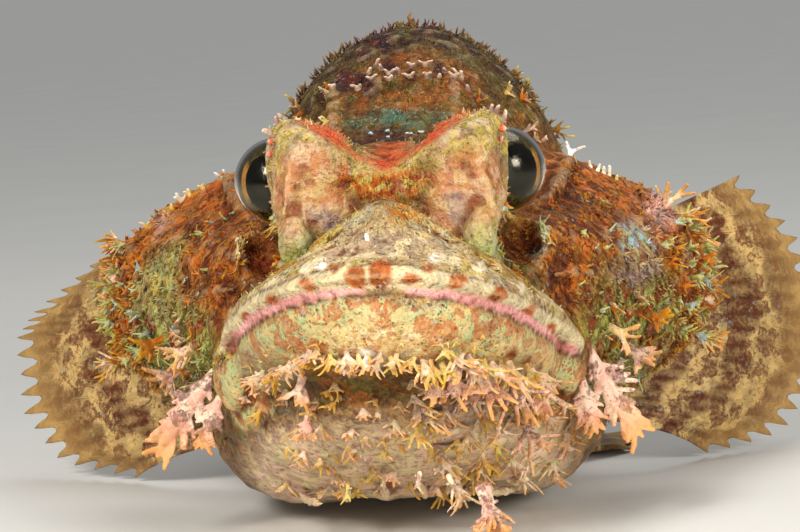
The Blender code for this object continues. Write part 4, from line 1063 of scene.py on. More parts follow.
def make_fins():
    """The eight fins' skins by the names of the nodes that they stand for."""
    made = {}
    body = banded(OCHRE, RED_BROWN, MAROON, FIN_EDGE, 2.6, (0.8, 0, 0.6))
    pale = banded(CREAM, BROWN, RED_BROWN, FIN_EDGE, 4, (0.8, 0, 0.5))
    belly = banded(CREAM, BROWN, RED_BROWN, FIN_EDGE, 3, (0.7, 0, 0.4))

    def add(node, bases, tips, rows, thick, web, notch, layers_at, bow=(0, 0, 0)):
        made[node] = fin_object(f"{node}_skin", bases, tips, rows, thick, web, notch, bow, layers_at)

    # Back fin: twelve lowered spines, then ten soft rays
    bases, tips = [], []
    for i, length in enumerate((12, 18, 24, 27, 27, 26, 24, 22, 20, 19, 18, 20)):
        s = 112 + 88 * i / 11
        slope = math.atan2(TOP_AT(s + 10) - TOP_AT(s), 10)
        turn = slope + math.radians(12 + 54 * (i / 11) ** 2)
        end = s + length * math.cos(turn)
        bases.append((swing(s), s, TOP_AT(s) - 3))
        tips.append((swing(end), end, TOP_AT(s) - 3 + (length + 3) * math.sin(turn) + 3))
    add("fin_back_spiny", bases, tips, 26, (1.9, 0.5), (0.9, 0.4), 0.34, body)
    bases, tips = [], []
    for i in range(10):
        s = 206 + 33 * i / 9
        length = 30 - 0.35 * (i - 4) ** 2
        lean = math.radians(42 - 2.5 * i)
        end = s + length * math.cos(lean)
        bases.append((swing(s), s, TOP_AT(s) - 3))
        tips.append((swing(end), end, TOP_AT(s) - 3 + (length + 3) * math.sin(lean)))
    add("fin_back_soft", bases, tips, 30, (1.5, 0.7), (0.8, 0.4), 0.07, body)

    # Vent fin: three spines and five rays, folded back above the floor
    bases, tips = [], []
    for i, length in enumerate((10, 16, 20, 28, 30, 29, 26, 22)):
        s = 200 + 26 * i / 7
        lean = math.radians(-26 - 3 * i)
        end = s + length * math.cos(lean)
        bases.append((swing(s), s, BOTTOM_AT(s) + 3))
        tips.append((swing(end), end, max(BOTTOM_AT(s) + 3 + length * math.sin(lean), 1.0 + 0.6 * i)))
    add("fin_vent", bases, tips, 26, (1.5, 0.7), (0.8, 0.4), 0.12, body)

    # Tail fin: a rounded fan
    bases, tips = [], []
    for i in range(15):
        a = (i - 7) / 7
        angle = math.radians(27 * a)
        length = 72 - 4 * a * a - 2.5 * (abs(a) > 0.9)
        bases.append((swing(268), 268, 37 + 11 * a))
        end = 268 + length * math.cos(angle)
        tips.append((swing(end), end, 37 + 11 * a + length * math.sin(angle) * 0.72))
    add("fin_tail", bases, tips, 56, (1.6, 0.7), (0.8, 0.4), 0.06, pale)

    # Breast fins: nineteen rays each, fanned out and back, the lowest ones resting on the floor
    for side, lift, end in ((1, 1.0, "left"), (-1, 0.78, "right")):
        rays = [i / 18 for i in range(19)]
        bases = [along([(34, 111, 48), (36, 111, 36), (35, 111, 24), (31, 112, 12)], t) for t in rays]
        rim = [(75, 146, 60 * lift), (88, 149, 47 * lift), (94, 149, 30), (92, 143, 14), (82, 132, 3),
               (64, 122, 0.7)]
        tips = [along(rim, t) for t in rays]
        bases = [(swing(s) + side * x, s, z) for x, s, z in bases]
        tips = [(side * x, s, z) for x, s, z in tips]
        add(f"fin_breast_{end}", bases, tips, 46, (2.0, 0.9), (0.9, 0.5), 0.1, pale, (side * 3, -5, 2))

    # Belly fins: one spine and five rays each, spread on the floor beside the belly
    for side, end in ((1, "left"), (-1, "right")):
        rays = [i / 5 for i in range(6)]
        bases = [along([(24, 112, 5.2), (17, 115, 2.4), (12, 117, 1.6)], t) for t in rays]
        tips = [along([(45, 132, 0.9), (47, 152, 0.9), (36, 166, 0.9), (22, 166, 1.0)], t) for t in rays]
        bases = [(swing(s) + side * x, s, z) for x, s, z in bases]
        tips = [(swing(s) + side * x, s, z) for x, s, z in tips]
        add(f"fin_belly_{end}", bases, tips, 36, (1.6, 1.0), (0.9, 0.6), 0.1, belly)
    return made


fins = make_fins()


# Flaps of skin, made one by one

FLAP_STEP = 0.30
FLATTENING = 1.5  # how much thinner than wide a flap's strands are


def blank_field(length, half):
    """An empty field for one flap, in its own frame of across, down and out."""
    return Field((np.arange(-half, half, FLAP_STEP), np.arange(-4.4, 1.3 * length + 2, FLAP_STEP),
                  np.arange(-3.6, 3.7, FLAP_STEP * 1.3)))


def finger(field, root, lean, long, radius, draw, twigs=0):
    """A slender finger with a bend in it, and short twigs on its sides."""
    bend = draw.uniform(-0.35, 0.35)
    points = [root]
    for share, turn in ((0.35, lean), (0.70, lean + bend * 0.6), (1.0, lean + bend)):
        step = (share - (0, 0.35, 0.70)[len(points) - 1]) * long
        x, y, z = points[-1]
        points.append((x + step * math.sin(turn), y + step * math.cos(turn),
                       float(np.clip(z + draw.uniform(-0.4, 0.4) * step / 2, -1.8, 1.8))))
    field.add([tube(points, [radius * 1.1, radius, radius * 0.95, radius * 0.8])], 0.22)
    for i in range(twigs):
        start = points[1 + i % 2]
        turn = lean + (-1) ** i * draw.uniform(0.5, 0.9)
        reach = long * draw.uniform(0.22, 0.42)
        end = (start[0] + reach * math.sin(turn), start[1] + reach * math.cos(turn), start[2])
        field.add([tube([start, end], [radius * 0.85, radius * 0.7])], 0.2)


def tuft_shape(length, width, fingers, draw, palm, stout):
    """A flap with a stout stem that splits into slender fingers."""
    field = blank_field(length, 0.5 * width + 0.75 * length + 2)
    radius = stout * (0.31 + 0.010 * length)
    foot = length * palm
    stem = 0.06 * width + radius
    field.add([tube([(0, -1.6, 0), (0, foot, 0)], [stem * 1.3, stem])], 0.5)
    for i in range(fingers):
        share = (i + 0.5 + draw.uniform(-0.25, 0.25)) / fingers - 0.5
        start = (width * 0.25 * share, foot * draw.uniform(0.5, 1.05), draw.uniform(-0.3, 0.3))
        lean = math.radians(105 * share) + draw.uniform(-0.2, 0.2)
        finger(field, start, lean, (length - foot) * draw.uniform(0.6, 1.15), radius, draw,
               twigs=draw.choice((0, 0, 1)) if length > 5 else 0)
    return field


def leaf_shape(length, width, fingers, draw, _, stout):
    """A long flap with a thick middle and ragged fingers down both of its sides."""
    field = blank_field(length, 0.75 * width + 3)
    line = [(0.06 * length * math.sin(2.2 * t), length * t * 0.86, 0) for t in (-0.12, 0.2, 0.5, 0.8, 1.0)]
    field.add([tube(line, [share * width for share in (0.12, 0.17, 0.20, 0.14, 0.05)])], 1.0)
    for i in range(2 * fingers):
        t = 0.12 + 0.84 * (i // 2 + draw.uniform(0.1, 0.9)) / fingers
        side = 1 if i % 2 else -1
        root = (0.06 * length * math.sin(2.2 * t) + side * 0.10 * width, length * t * 0.86, 0)
        lean = side * draw.uniform(0.55, 1.15) * (1 - 0.35 * t)
        long = 0.5 * width * draw.uniform(0.5, 1.05) * (0.7 + 0.5 * math.sin(math.pi * t))
        finger(field, root, lean, long, 0.50 * stout, draw, twigs=draw.choice((0, 1)))
    return field


def flap(root, way, facing, length, width, fingers, draw, curl=0.6, shape=tuft_shape, palm=0.25, stout=1.0):
    """A flap placed on the fish; returns points, quads, its reach from root to tip, and its own plan."""
    plan, quads = shape(length, width, fingers, draw, palm, stout).surface()
    plan = relaxed(plan, quads, rounds=1, share=0.4)
    plan[:, 2] /= FLATTENING
    way = Vector(way).normalized()
    across = way.cross(Vector(facing)).normalized()
    facing = across.cross(way)
    v = np.clip(plan[:, 1], 0, None)
    angle = curl * v / length
    drop = np.where(v > 0, np.sin(angle) * length / max(curl, 1e-3), plan[:, 1])
    lift = (1 - np.cos(angle)) * length / max(curl, 1e-3)
    wave = 0.08 * length * np.sin(plan[:, 0] * 4.4 / max(width, 1) + draw.uniform(0, 6)) * v / length
    out = plan[:, 2] + lift + wave
    points = (np.array(root) + plan[:, :1] * np.array(across) + drop[:, None] * np.array(way)
              + out[:, None] * np.array(facing))
    return points, quads, np.clip(v / length, 0, 1), plan


def flap_piece(name, flaps, colours):
    """Joins flaps into one object; each has its own cell of the map OFBake, its two faces side by side."""
    starts = np.cumsum([0] + [len(f[0]) for f in flaps])
    points = np.concatenate([f[0] for f in flaps])
    points[:, 2] = np.maximum(points[:, 2], FLAP_CLEARANCE)
    quads = np.concatenate([f[1] + start for f, start in zip(flaps, starts)])
    obj = make_object(name, points, quads, FLAPS)
    mesh = obj.data
    owner = np.repeat(np.arange(len(flaps)), [len(f[0]) for f in flaps])
    reach = np.concatenate([f[2] for f in flaps])
    layers = {key: np.array([c[key] for c in colours])[owner] for key in LAYERS}
    set_layers(mesh, layers)
    set_attribute(mesh, "reach", "FLOAT", reach)
    shares = []
    for f in flaps:
        low, high = f[3][:, :2].min(0), f[3][:, :2].max(0)
        shares.append((f[3][:, :2] - low) / (high - low))
    shares = np.concatenate(shares)
    inward = np.concatenate([f[3][:, 2] < 0 for f in flaps])
    cells = math.ceil(math.sqrt(len(flaps)))
    corner = np.empty(len(mesh.loops), np.int64)
    mesh.loops.foreach_get("vertex_index", corner)
    behind = inward[corner].reshape(-1, 4).sum(1) > 2
    side = np.repeat(behind, 4) * 0.5
    u = (owner[corner] % cells + 0.04 + (shares[corner, 0] * 0.44 + side) * 0.96) / cells
    w = (owner[corner] // cells + 0.04 + shares[corner, 1] * 0.92) / cells
    layer = mesh.uv_layers.new(name="OFBake")
    layer.data.foreach_set("uv", np.stack([u, w], 1).astype(np.float32).ravel())
    return obj


SKIN_TREE = BVHTree.FromPolygons([tuple(p) for p in skin_points], [tuple(q) for q in skin_quads.tolist()])


def on_skin(spot):
    """The skin's nearest point to a spot and the way out of it."""
    place, out, _, _ = SKIN_TREE.find_nearest(Vector(spot))
    return place, out


AHEAD_OF_SNOUT = -60
BEHIND_LIPS = 20  # where a flap is looked for when no skin lies straight behind its place


def facing_front(x, z):
    """The skin's nearest point to the viewer at a place across and a height."""
    place, _, _, _ = SKIN_TREE.ray_cast(Vector((x, AHEAD_OF_SNOUT, z)), Vector((0, 1, 0)))
    return place or Vector((x, BEHIND_LIPS, z))


def hung(spot, lean, length, width, fingers, draw, share_out=0.5, twist=0.0, **more):
    """A flap on the skin nearest to a spot; lean is added to the way out of the skin there."""
    root, out = on_skin(spot)
    way = out * share_out + Vector(lean)
    across = Matrix.Rotation(twist, 3, way) @ way.cross(Vector((0, -1, 0.15)))
    return flap(root - out * 0.4, way, across.cross(way), length, width, fingers, draw, **more)


PALE_TASSEL = paint_of(WHITE_PINK, WHITE_CREAM, PURPLE_BROWN, (0.5, 0, 0.15), TASSEL_ORANGE)
CREAM_TASSEL = paint_of(CREAM, WHITE_PINK, OCHRE, (0.5, 0, 0.2), TASSEL_ORANGE)
YELLOW_TASSEL = paint_of(YELLOW_CREAM, CREAM, ORANGE, (0.5, 0, 0.2), YELLOW)
CORNER_TASSEL = paint_of(SHELL_PINK, WHITE_PINK, PURPLE_BROWN, (0.8, 0, 0.1), TASSEL_ORANGE)
MAUVE_FLAP = paint_of(MAUVE, LAVENDER, PURPLE_BROWN, (0.3, 0, 0.2), WHITE_PINK)
CREAM_FLAP = paint_of(CREAM, YELLOW_CREAM, OCHRE, (0.5, 0, 0.3), WHITE_CREAM)
GREEN_FLAP = paint_of(YELLOW_GREEN, MINT, OLIVE, (0.6, 0, 0.5), YELLOW_CREAM)
MINT_FLAP = paint_of(MINT, BLUE_WHITE, OLIVE, (0.5, 0, 0.4), YELLOW_GREEN)
WARM_FLAP = paint_of(OCHRE, ORANGE, RUST, (0.6, 0, 0.4), YELLOW)
BROWN_FLAP = paint_of(OCHRE, OLIVE, RED_BROWN, (0.7, 0, 0.5), YELLOW_CREAM)
BLUE_FLAP = paint_of(BLUE_WHITE, WHITE, TEAL, (0.3, 0, 0.2), BLUE_WHITE)
WHITE_FLAP = paint_of(WHITE_CREAM, WHITE, MAUVE, (0.2, 0, 0.1), WHITE)
RED_FLAP = paint_of(SALMON, SALMON, SALMON, (0, 0, 0), SHELL_PINK)


class Flaps:
    """Flaps of one piece with their colours."""

    def __init__(self, seed):
        self.draw = random.Random(seed)
        self.made = []
        self.colours = []

    def put(self, spot, lean, length, width, fingers, colour, **more):
        self.made.append(hung(spot, lean, length, width, fingers, self.draw, **more))
        self.colours.append(colour)

    def put_rows(self, rows, side):
        """Flaps from a table of the left side's, which are mirrored where side is -1."""
        for (x, s, z), (out, back, up), length, width, fingers, colour, more in rows:
            self.put((side * x, s, z), (side * out, back, up), length, width, fingers, colour, **more)

    def piece(self, name):
        return flap_piece(name, self.made, self.colours)


JAW_TASSELS, THROAT_TASSELS, LIP_TASSELS = 64, 150, 26
# The long tassels of the jaw, most of them at its left corner: place and length
LONG_TASSELS = ((20, 12, 29, 12), (27, 22, 27, 13), (31, 30, 25, 11), (14, 9, 29, 9), (-22, 16, 27, 8),
                (24, 25, 19, 11), (29, 31, 20, 11), (18, 22, 16, 9), (10, 10, 30, 7), (-28, 24, 25, 7))


def make_jaw_flaps():
    """Tassels under the jaw and on the throat, longest on the fish's left."""
    flaps = Flaps(7)
    draw = flaps.draw
    for i in range(JAW_TASSELS):
        turn = -82 + 164 * (i + draw.uniform(0, 1)) / JAW_TASSELS
        k = math.radians(turn)
        left = max(math.sin(2 * k), 0) ** 1.2
        length = draw.uniform(2.6, 5.5) + 5.5 * left * draw.uniform(0.2, 1)
        lift = -12.5 + 3.0 * abs(math.sin(k)) - draw.uniform(-1.2, 4.5)
        spot = mouth_line(turn, draw.uniform(-2.5, 0), lift)
        lean = (0.3 * math.sin(k) + draw.uniform(-0.5, 0.5), draw.uniform(-0.6, 0.0),
                draw.uniform(-1.1, -0.5))
        colour = draw.choice((PALE_TASSEL, PALE_TASSEL, CREAM_TASSEL, YELLOW_TASSEL))
        flaps.put(spot, lean, length, length * draw.uniform(0.35, 0.6), draw.randint(4, 6), colour,
                  twist=draw.uniform(-0.7, 0.7), palm=0.35)
    for x, s, z, length in LONG_TASSELS:
        flaps.put((x, s, z), (draw.uniform(-0.2, 0.3), -0.3, -1.0), length, length * 0.6, 8, CORNER_TASSEL,
                  palm=0.45, stout=1.15)
    for _ in range(THROAT_TASSELS):
        x, z = draw.uniform(-24, 35), draw.uniform(9, 36)
        length = draw.uniform(2.4, 5.0) + 3.0 * (x > 4) * draw.random()
        lean = (draw.uniform(-0.4, 0.4), -0.5, -0.8)
        flaps.put(facing_front(x, z), lean, length, length * 0.5, draw.randint(2, 5),
                  draw.choice((PALE_TASSEL, YELLOW_TASSEL, CREAM_TASSEL)), twist=draw.uniform(-0.7, 0.7))
    flaps.put((19, 24, 12), (0.1, -0.5, -0.9), 11, 5, 5, CORNER_TASSEL, shape=leaf_shape)
    for _ in range(LIP_TASSELS):
        turn = draw.uniform(-66, 40)
        spot = mouth_line(turn, 1, draw.uniform(-12, -6))
        lean = (draw.uniform(-0.5, 0.5), -0.4, -0.4)
        flaps.put(spot, lean, draw.uniform(1.4, 2.8), 1.0, 2, YELLOW_TASSEL, palm=0.15, stout=0.8)
    return flaps.piece("jaw_tassels")


# Single flaps of the left side: place, lean, length, width, fingers, colour and how its shape differs
CORNER_FLAPS = (
    ((42, 50, 34), (0.50, -0.15, -0.90), 22.5, 9, 9, CORNER_TASSEL,
     dict(shape=leaf_shape, stout=1.2, share_out=0.1, curl=0.25)),
    ((40, 48, 27), (0.25, -0.15, -1.0), 13, 6, 6, CORNER_TASSEL,
     dict(shape=leaf_shape, share_out=0.1, curl=0.3)),
    ((45, 58, 38), (0.7, -0.4, -0.6), 9, 7, 6, CREAM_TASSEL, dict(palm=0.45)),
    ((50, 64, 30), (0.9, -0.5, -0.6), 10, 9, 6, CORNER_TASSEL, dict(palm=0.5, stout=1.3)),
    ((53, 70, 38), (0.9, -0.5, -0.4), 8, 8, 6, WARM_FLAP, dict(palm=0.5, stout=1.3)))
BROW_FLAPS = (
    ((24.5, 41, 81.5), (0.5, -0.3, 0.5), 2.6, 0.8, 1, MAUVE_FLAP, dict(share_out=0.8, stout=1.9)),
    ((24.5, 40, 79.5), (0.5, -0.4, 0.1), 1.7, 1.0, 1, RED_FLAP, dict(share_out=0.8, stout=1.9)),
    ((23.5, 39, 77.5), (0.4, -0.5, 0.0), 1.5, 1.2, 1, RED_FLAP, dict(share_out=0.8, stout=2.0)),
    ((22.0, 42, 83.5), (0.1, -0.2, 0.6), 2.8, 0.8, 1, MAUVE_FLAP, dict(stout=1.5)),
    ((20.5, 42, 83.5), (0.0, -0.2, 0.6), 2.2, 0.8, 1, MAUVE_FLAP, dict(stout=1.3)))


def make_head_flaps():
    """Leaves at the mouth's corners, and smaller flaps on cheeks, brows, snout and nape."""
    flaps = Flaps(11)
    draw = flaps.draw
    for side in (1, -1):
        flaps.put_rows(CORNER_FLAPS, side)
        for _ in range(34):
            spot = (side * draw.uniform(38, 56), draw.uniform(50, 80), draw.uniform(18, 44))
            length = draw.uniform(2.2, 5.5)
            lean = (0.5 * side, -0.5, draw.uniform(-0.7, 0.2))
            flaps.put(spot, lean, length, length * 0.5, draw.randint(2, 4),
                      draw.choice((GREEN_FLAP, MINT_FLAP, CREAM_TASSEL, WARM_FLAP)),
                      twist=draw.uniform(-1.5, 1.5))
        for _ in range(26):
            spot = (side * draw.uniform(26, 50), draw.uniform(46, 84), draw.uniform(44, 64))
            length = draw.uniform(1.4, 3.4)
            lean = (0.4 * side, -0.4, draw.uniform(-0.5, 0.4))
            flaps.put(spot, lean, length, length * 0.6, draw.randint(1, 3),
                      draw.choice((GREEN_FLAP, MINT_FLAP, WARM_FLAP)), twist=draw.uniform(-1.5, 1.5))
        for i in range(16):
            turn = math.radians(20 + 13 * i)
            spot = (side * (EYE_X - 1), EYE_S + 10.5 * math.cos(turn), EYE_Z + 11 * math.sin(turn))
            flaps.put(spot, (0.5 * side, 0, 1.0), draw.uniform(0.9, 2.0), 0.7, 1,
                      CREAM_FLAP if i % 3 else MAUVE_FLAP, share_out=0.8, stout=0.8)
        for _ in range(12):
            spot = (side * (EYE_X + draw.uniform(0, 5)), EYE_S - draw.uniform(3, 8),
                    EYE_Z - draw.uniform(8, 10.5))
            flaps.put(spot, (0.6 * side, -0.3, -0.7), draw.uniform(1.5, 2.8), 0.6, 1, YELLOW_TASSEL,
                      palm=0.1, stout=0.8)
        for i in range(22):
            turn = math.radians(110 - 290 * i / 21)
            out, up = math.cos(turn), math.sin(turn)
            length = draw.uniform(1.6, 3.2)
            spot = (side * (25.2 + 5.0 * out), 36, 59 + 6.2 * up)
            lean = (-0.7 * out * side, -0.5, -0.7 * up - 0.2)
            flaps.put(spot, lean, length, length * 0.6, draw.randint(1, 3),
                      draw.choice((WARM_FLAP, WARM_FLAP, GREEN_FLAP, MINT_FLAP)), share_out=0.3)
        for _ in range(14):
            spot = (side * draw.uniform(30, 32), draw.uniform(44, 50), 59.5 + draw.uniform(-6, 6))
            lean = (-0.6 * side, -0.8, draw.uniform(-0.5, 0.1))
            flaps.put(spot, lean, draw.uniform(2.4, 4.0), 1.8, draw.randint(2, 4),
                      draw.choice((WARM_FLAP, MINT_FLAP, CREAM_FLAP)), share_out=0.3)
        flaps.put_rows(BROW_FLAPS, side)
        for _ in range(14):
            spot = (side * draw.uniform(13, 24), draw.uniform(36, 56), 86)
            flaps.put(spot, (draw.uniform(-0.4, 0.4), -0.3, 0.4), draw.uniform(0.9, 1.9), 0.7,
                      draw.randint(1, 2), CREAM_FLAP, stout=0.8)
        for _ in range(16):
            spot = (side * draw.uniform(18, 32), draw.uniform(66, 104), draw.uniform(68, 92))
            length = draw.uniform(1.8, 4.2)
            flaps.put(spot, (0.6 * side, -0.3, 0.3), length, length * 0.5, draw.randint(1, 3),
                      draw.choice((CREAM_FLAP, MAUVE_FLAP, WARM_FLAP)))
    for x, z in NAPE_FLAPS:
        flaps.put((x, 86, z), (0, -0.35, 0.7), draw.uniform(1.6, 3.0), 1.4, draw.randint(1, 2), MAUVE_FLAP,
                  share_out=0.6, stout=1.5)
    for x, z in ((-0.2, 81.5), (2.2, 80.2), (-0.8, 78.8), (3.8, 78.8), (-4, 80), (6.5, 80.2)):
        flaps.put((x, 72, z), (0, -0.8, 0.4), 1.2, 0.7, 1, BLUE_FLAP, share_out=0.3, stout=1.5)
    flaps.put((-2.6, 10, 63.5), (0.05, -0.4, -1.0), 4.4, 0.7, 1, WHITE_FLAP, share_out=0.2, palm=0.1,
              stout=1.1)
    for (x, s, z), length, fingers, colour in RIM_FLAPS:
        lean = (0.25 * np.sign(x), -0.2, 1.0)
        flaps.put((x, s, z + 1), lean, length, length * 0.5, fingers, colour, share_out=0.1, palm=0.2,
                  stout=1.3)
    flaps.put((5, 8, 65.5), (0.1, -0.6, -0.1), 2.2, 1.2, 2, CREAM_FLAP)
    for _ in range(34):
        spot = (draw.uniform(-20, 20), draw.uniform(4, 24), 70)
        flaps.put(spot, (draw.uniform(-0.5, 0.5), -0.6, -0.2), draw.uniform(0.8, 1.6), 0.6, 1,
                  draw.choice((CREAM_FLAP, GREEN_FLAP, MINT_FLAP)), stout=0.8)
    return flaps.piece("head_flaps")


# Rows of mauve flaps over the front of the nape: place across and height
NAPE_FLAPS = ((-2, 97), (3.6, 95.5), (8.2, 97), (-5.8, 92.5), (-1.2, 92.5), (3.6, 91), (-1.0, 89.5),
              (6.8, 89.8), (12.4, 96), (16.4, 96), (19.5, 94), (-9.5, 95.5), (-13.5, 92.5), (-16.5, 88),
              (18.5, 88.5), (10.5, 91.5), (-8, 88.5), (0.5, 99), (-5.5, 98.5), (13.5, 90))

# Pale spikes and small branches along the cheeks' upper rims: place, length, fingers and colour
RIM_FLAPS = (((35.1, 88, 71.4), 3.6, 2, WHITE_FLAP), ((38.0, 90, 69.4), 2.2, 1, CREAM_FLAP),
             ((40.9, 92, 67.5), 2.2, 1, WHITE_FLAP), ((42.1, 92, 67.0), 2.8, 1, WHITE_FLAP),
             ((43.3, 92, 66.3), 2.4, 1, WHITE_FLAP), ((44.6, 93, 65.5), 2.8, 1, WHITE_FLAP),
             ((45.8, 93, 64.6), 2.2, 1, CREAM_FLAP), ((57.1, 98, 58.2), 7.5, 5, CREAM_TASSEL),
             ((-37.1, 90, 68.1), 3.0, 2, WHITE_FLAP), ((-41.4, 92, 66.3), 2.4, 2, CREAM_FLAP),
             ((-44.5, 94, 64.6), 2.6, 2, CREAM_FLAP), ((-47.2, 95, 64.0), 2.8, 3, WHITE_FLAP),
             ((-49.4, 95, 63.2), 2.4, 1, CREAM_FLAP), ((-54.2, 98, 57.6), 2.2, 2, CREAM_FLAP),
             ((-60.9, 99, 45.8), 6.5, 4, CREAM_TASSEL), ((-62.0, 99, 41.1), 5.5, 3, CREAM_TASSEL))


def make_cover_flaps():
    """Flaps along the free edges of the gill covers."""
    flaps = Flaps(13)
    draw = flaps.draw
    for side in (1, -1):
        for i in range(30):
            z = 20 + 46 * (i + draw.random()) / 30
            s = 106 - 16 * ((z - 46) / 28) ** 2 - draw.uniform(0, 3)
            length = draw.uniform(3, 6.5)
            lean = (0.9 * side, draw.uniform(-0.4, 0.2), draw.uniform(-0.7, 0.3))
            flaps.put((side * 66, s, z), lean, length, length * 0.6, draw.randint(2, 5),
                      draw.choice((WARM_FLAP, GREEN_FLAP, CREAM_TASSEL)), twist=draw.uniform(-1, 1))
        for _ in range(38):
            spot = (side * 64, draw.uniform(74, 100), draw.uniform(24, 60))
            length = draw.uniform(1.8, 4.6)
            lean = (0.9 * side, -0.4, draw.uniform(-0.6, 0.3))
            flaps.put(spot, lean, length, length * 0.5, draw.randint(2, 4),
                      draw.choice((WARM_FLAP, GREEN_FLAP, MINT_FLAP)), twist=draw.uniform(-1, 1))
    return flaps.piece("cover_flaps")


def make_body_flaps():
    """Small flaps in loose rows along the flanks."""
    flaps = Flaps(17)
    draw = flaps.draw
    for side in (1, -1):
        for i in range(44):
            s = 116 + 146 * i / 43 + draw.uniform(-3, 3)
            height = draw.uniform(-0.5, 0.8)
            span = TOP_AT(s) - WIDEST_Z_AT(s) if height > 0 else WIDEST_Z_AT(s) - BOTTOM_AT(s)
            x = swing(s) + side * WIDTH_AT(s) * math.sqrt(1 - height**2)
            spot = (x, s, WIDEST_Z_AT(s) + height * span)
            length = draw.uniform(2.4, 5.5)
            flaps.put(spot, (0.2 * side, 0.6, -0.2), length, length * 0.5, draw.randint(2, 4),
                      draw.choice((BROWN_FLAP, WARM_FLAP, GREEN_FLAP)))
    return flaps.piece("body_flaps")


flap_pieces = {"jaw_skin": make_jaw_flaps(), "head_skin": make_head_flaps(),
               "cheek_skin": make_cover_flaps(), "body_skin": make_body_flaps()}


# Small growths, scattered over the skin by nodes

STRAND_SIDES = 4
GROWTH_VARIANTS = 6
PATCH_SIZE = 0.003  # the size of a growth's patch on the map OFBake


def strand(points, widths, thickness):
    """A closed tapered strand through points; widths are across it and thickness through it."""
    sides = STRAND_SIDES
    made, faces = [], []
    for (x, y, z), width in zip(points, widths):
        for i in range(sides):
            a = 2 * math.pi * (i + 0.5) / sides
            made.append((x + width * math.cos(a), y + thickness * math.sin(a) * min(1, width * 4), z))
    made.append(points[-1])
    rings = len(widths)
    for j in range(rings - 1):
        for i in range(sides):
            after = (i + 1) % sides
            faces.append((j * sides + i, j * sides + after, (j + 1) * sides + after, (j + 1) * sides + i))
    last = (rings - 1) * sides
    faces += [(last + i, last + (i + 1) % sides, len(made) - 1) for i in range(sides)]
    faces.append(tuple(range(sides - 1, -1, -1)))
    return made, faces


def fan(leans, length, width, thickness, draw):
    """Strands that spread from one root, as (points, faces)."""
    points, faces = [], []
    for lean in leans:
        long = length * draw.uniform(0.75, 1.1)
        bend = draw.uniform(-0.25, 0.25)
        line = [(long * t * math.sin(lean + bend * t), draw.uniform(-0.06, 0.06) * t,
                 long * t * math.cos(lean)) for t in (-0.12, 0.4, 0.75, 1.0)]
        strand_points, strand_faces = strand(line, (width, width, width * 0.7), thickness)
        faces += [tuple(v + len(points) for v in face) for face in strand_faces]
        points += strand_points
    return points, faces


# Each kind of growth: the leans of strands of which every other shape has only the first, the leans of
# strands that all shapes have, and the strands' length, width and thickness
GROWTH_FORMS = {"threads": (((-0.2, 0.2), (0.35, 0.8)), (), 1.0, 0.14, 0.10),
                "leaves": ((), ((-0.9, -0.4), (-0.2, 0.2), (0.4, 0.9)), 0.9, 0.17, 0.08),
                "sprigs": (((-0.7, -0.3), (0.3, 0.7)), ((-0.2, 0.2),), 1.0, 0.15, 0.07)}


def growth_shapes(kind):
    """A few small shapes, one unit tall, for one kind of growth."""
    draw = random.Random(kind)
    some, always, length, width, thickness = GROWTH_FORMS[kind]
    shapes = []
    for i in range(GROWTH_VARIANTS):
        leans = [draw.uniform(*span) for span in some][:1 + i % 2]
        leans += [draw.uniform(*span) for span in always]
        shapes.append(fan(leans, length, width, thickness, draw))
    collection = bpy.data.collections.new(kind)
    for i, (points, faces) in enumerate(shapes):
        mesh = bpy.data.meshes.new(f"{kind}_{i}")
        mesh.from_pydata([(x * MM, y * MM, z * MM) for x, y, z in points], [], faces)
        mesh.shade_smooth()
        set_attribute(mesh, "reach", "FLOAT", [max(p[2], 0) for p in points])
        set_attribute(mesh, "plan", "FLOAT_VECTOR", [(p[0], p[2] - 0.5, 0) for p in points])
        obj = bpy.data.objects.new(mesh.name, mesh)
        collection.objects.link(obj)
    return collection


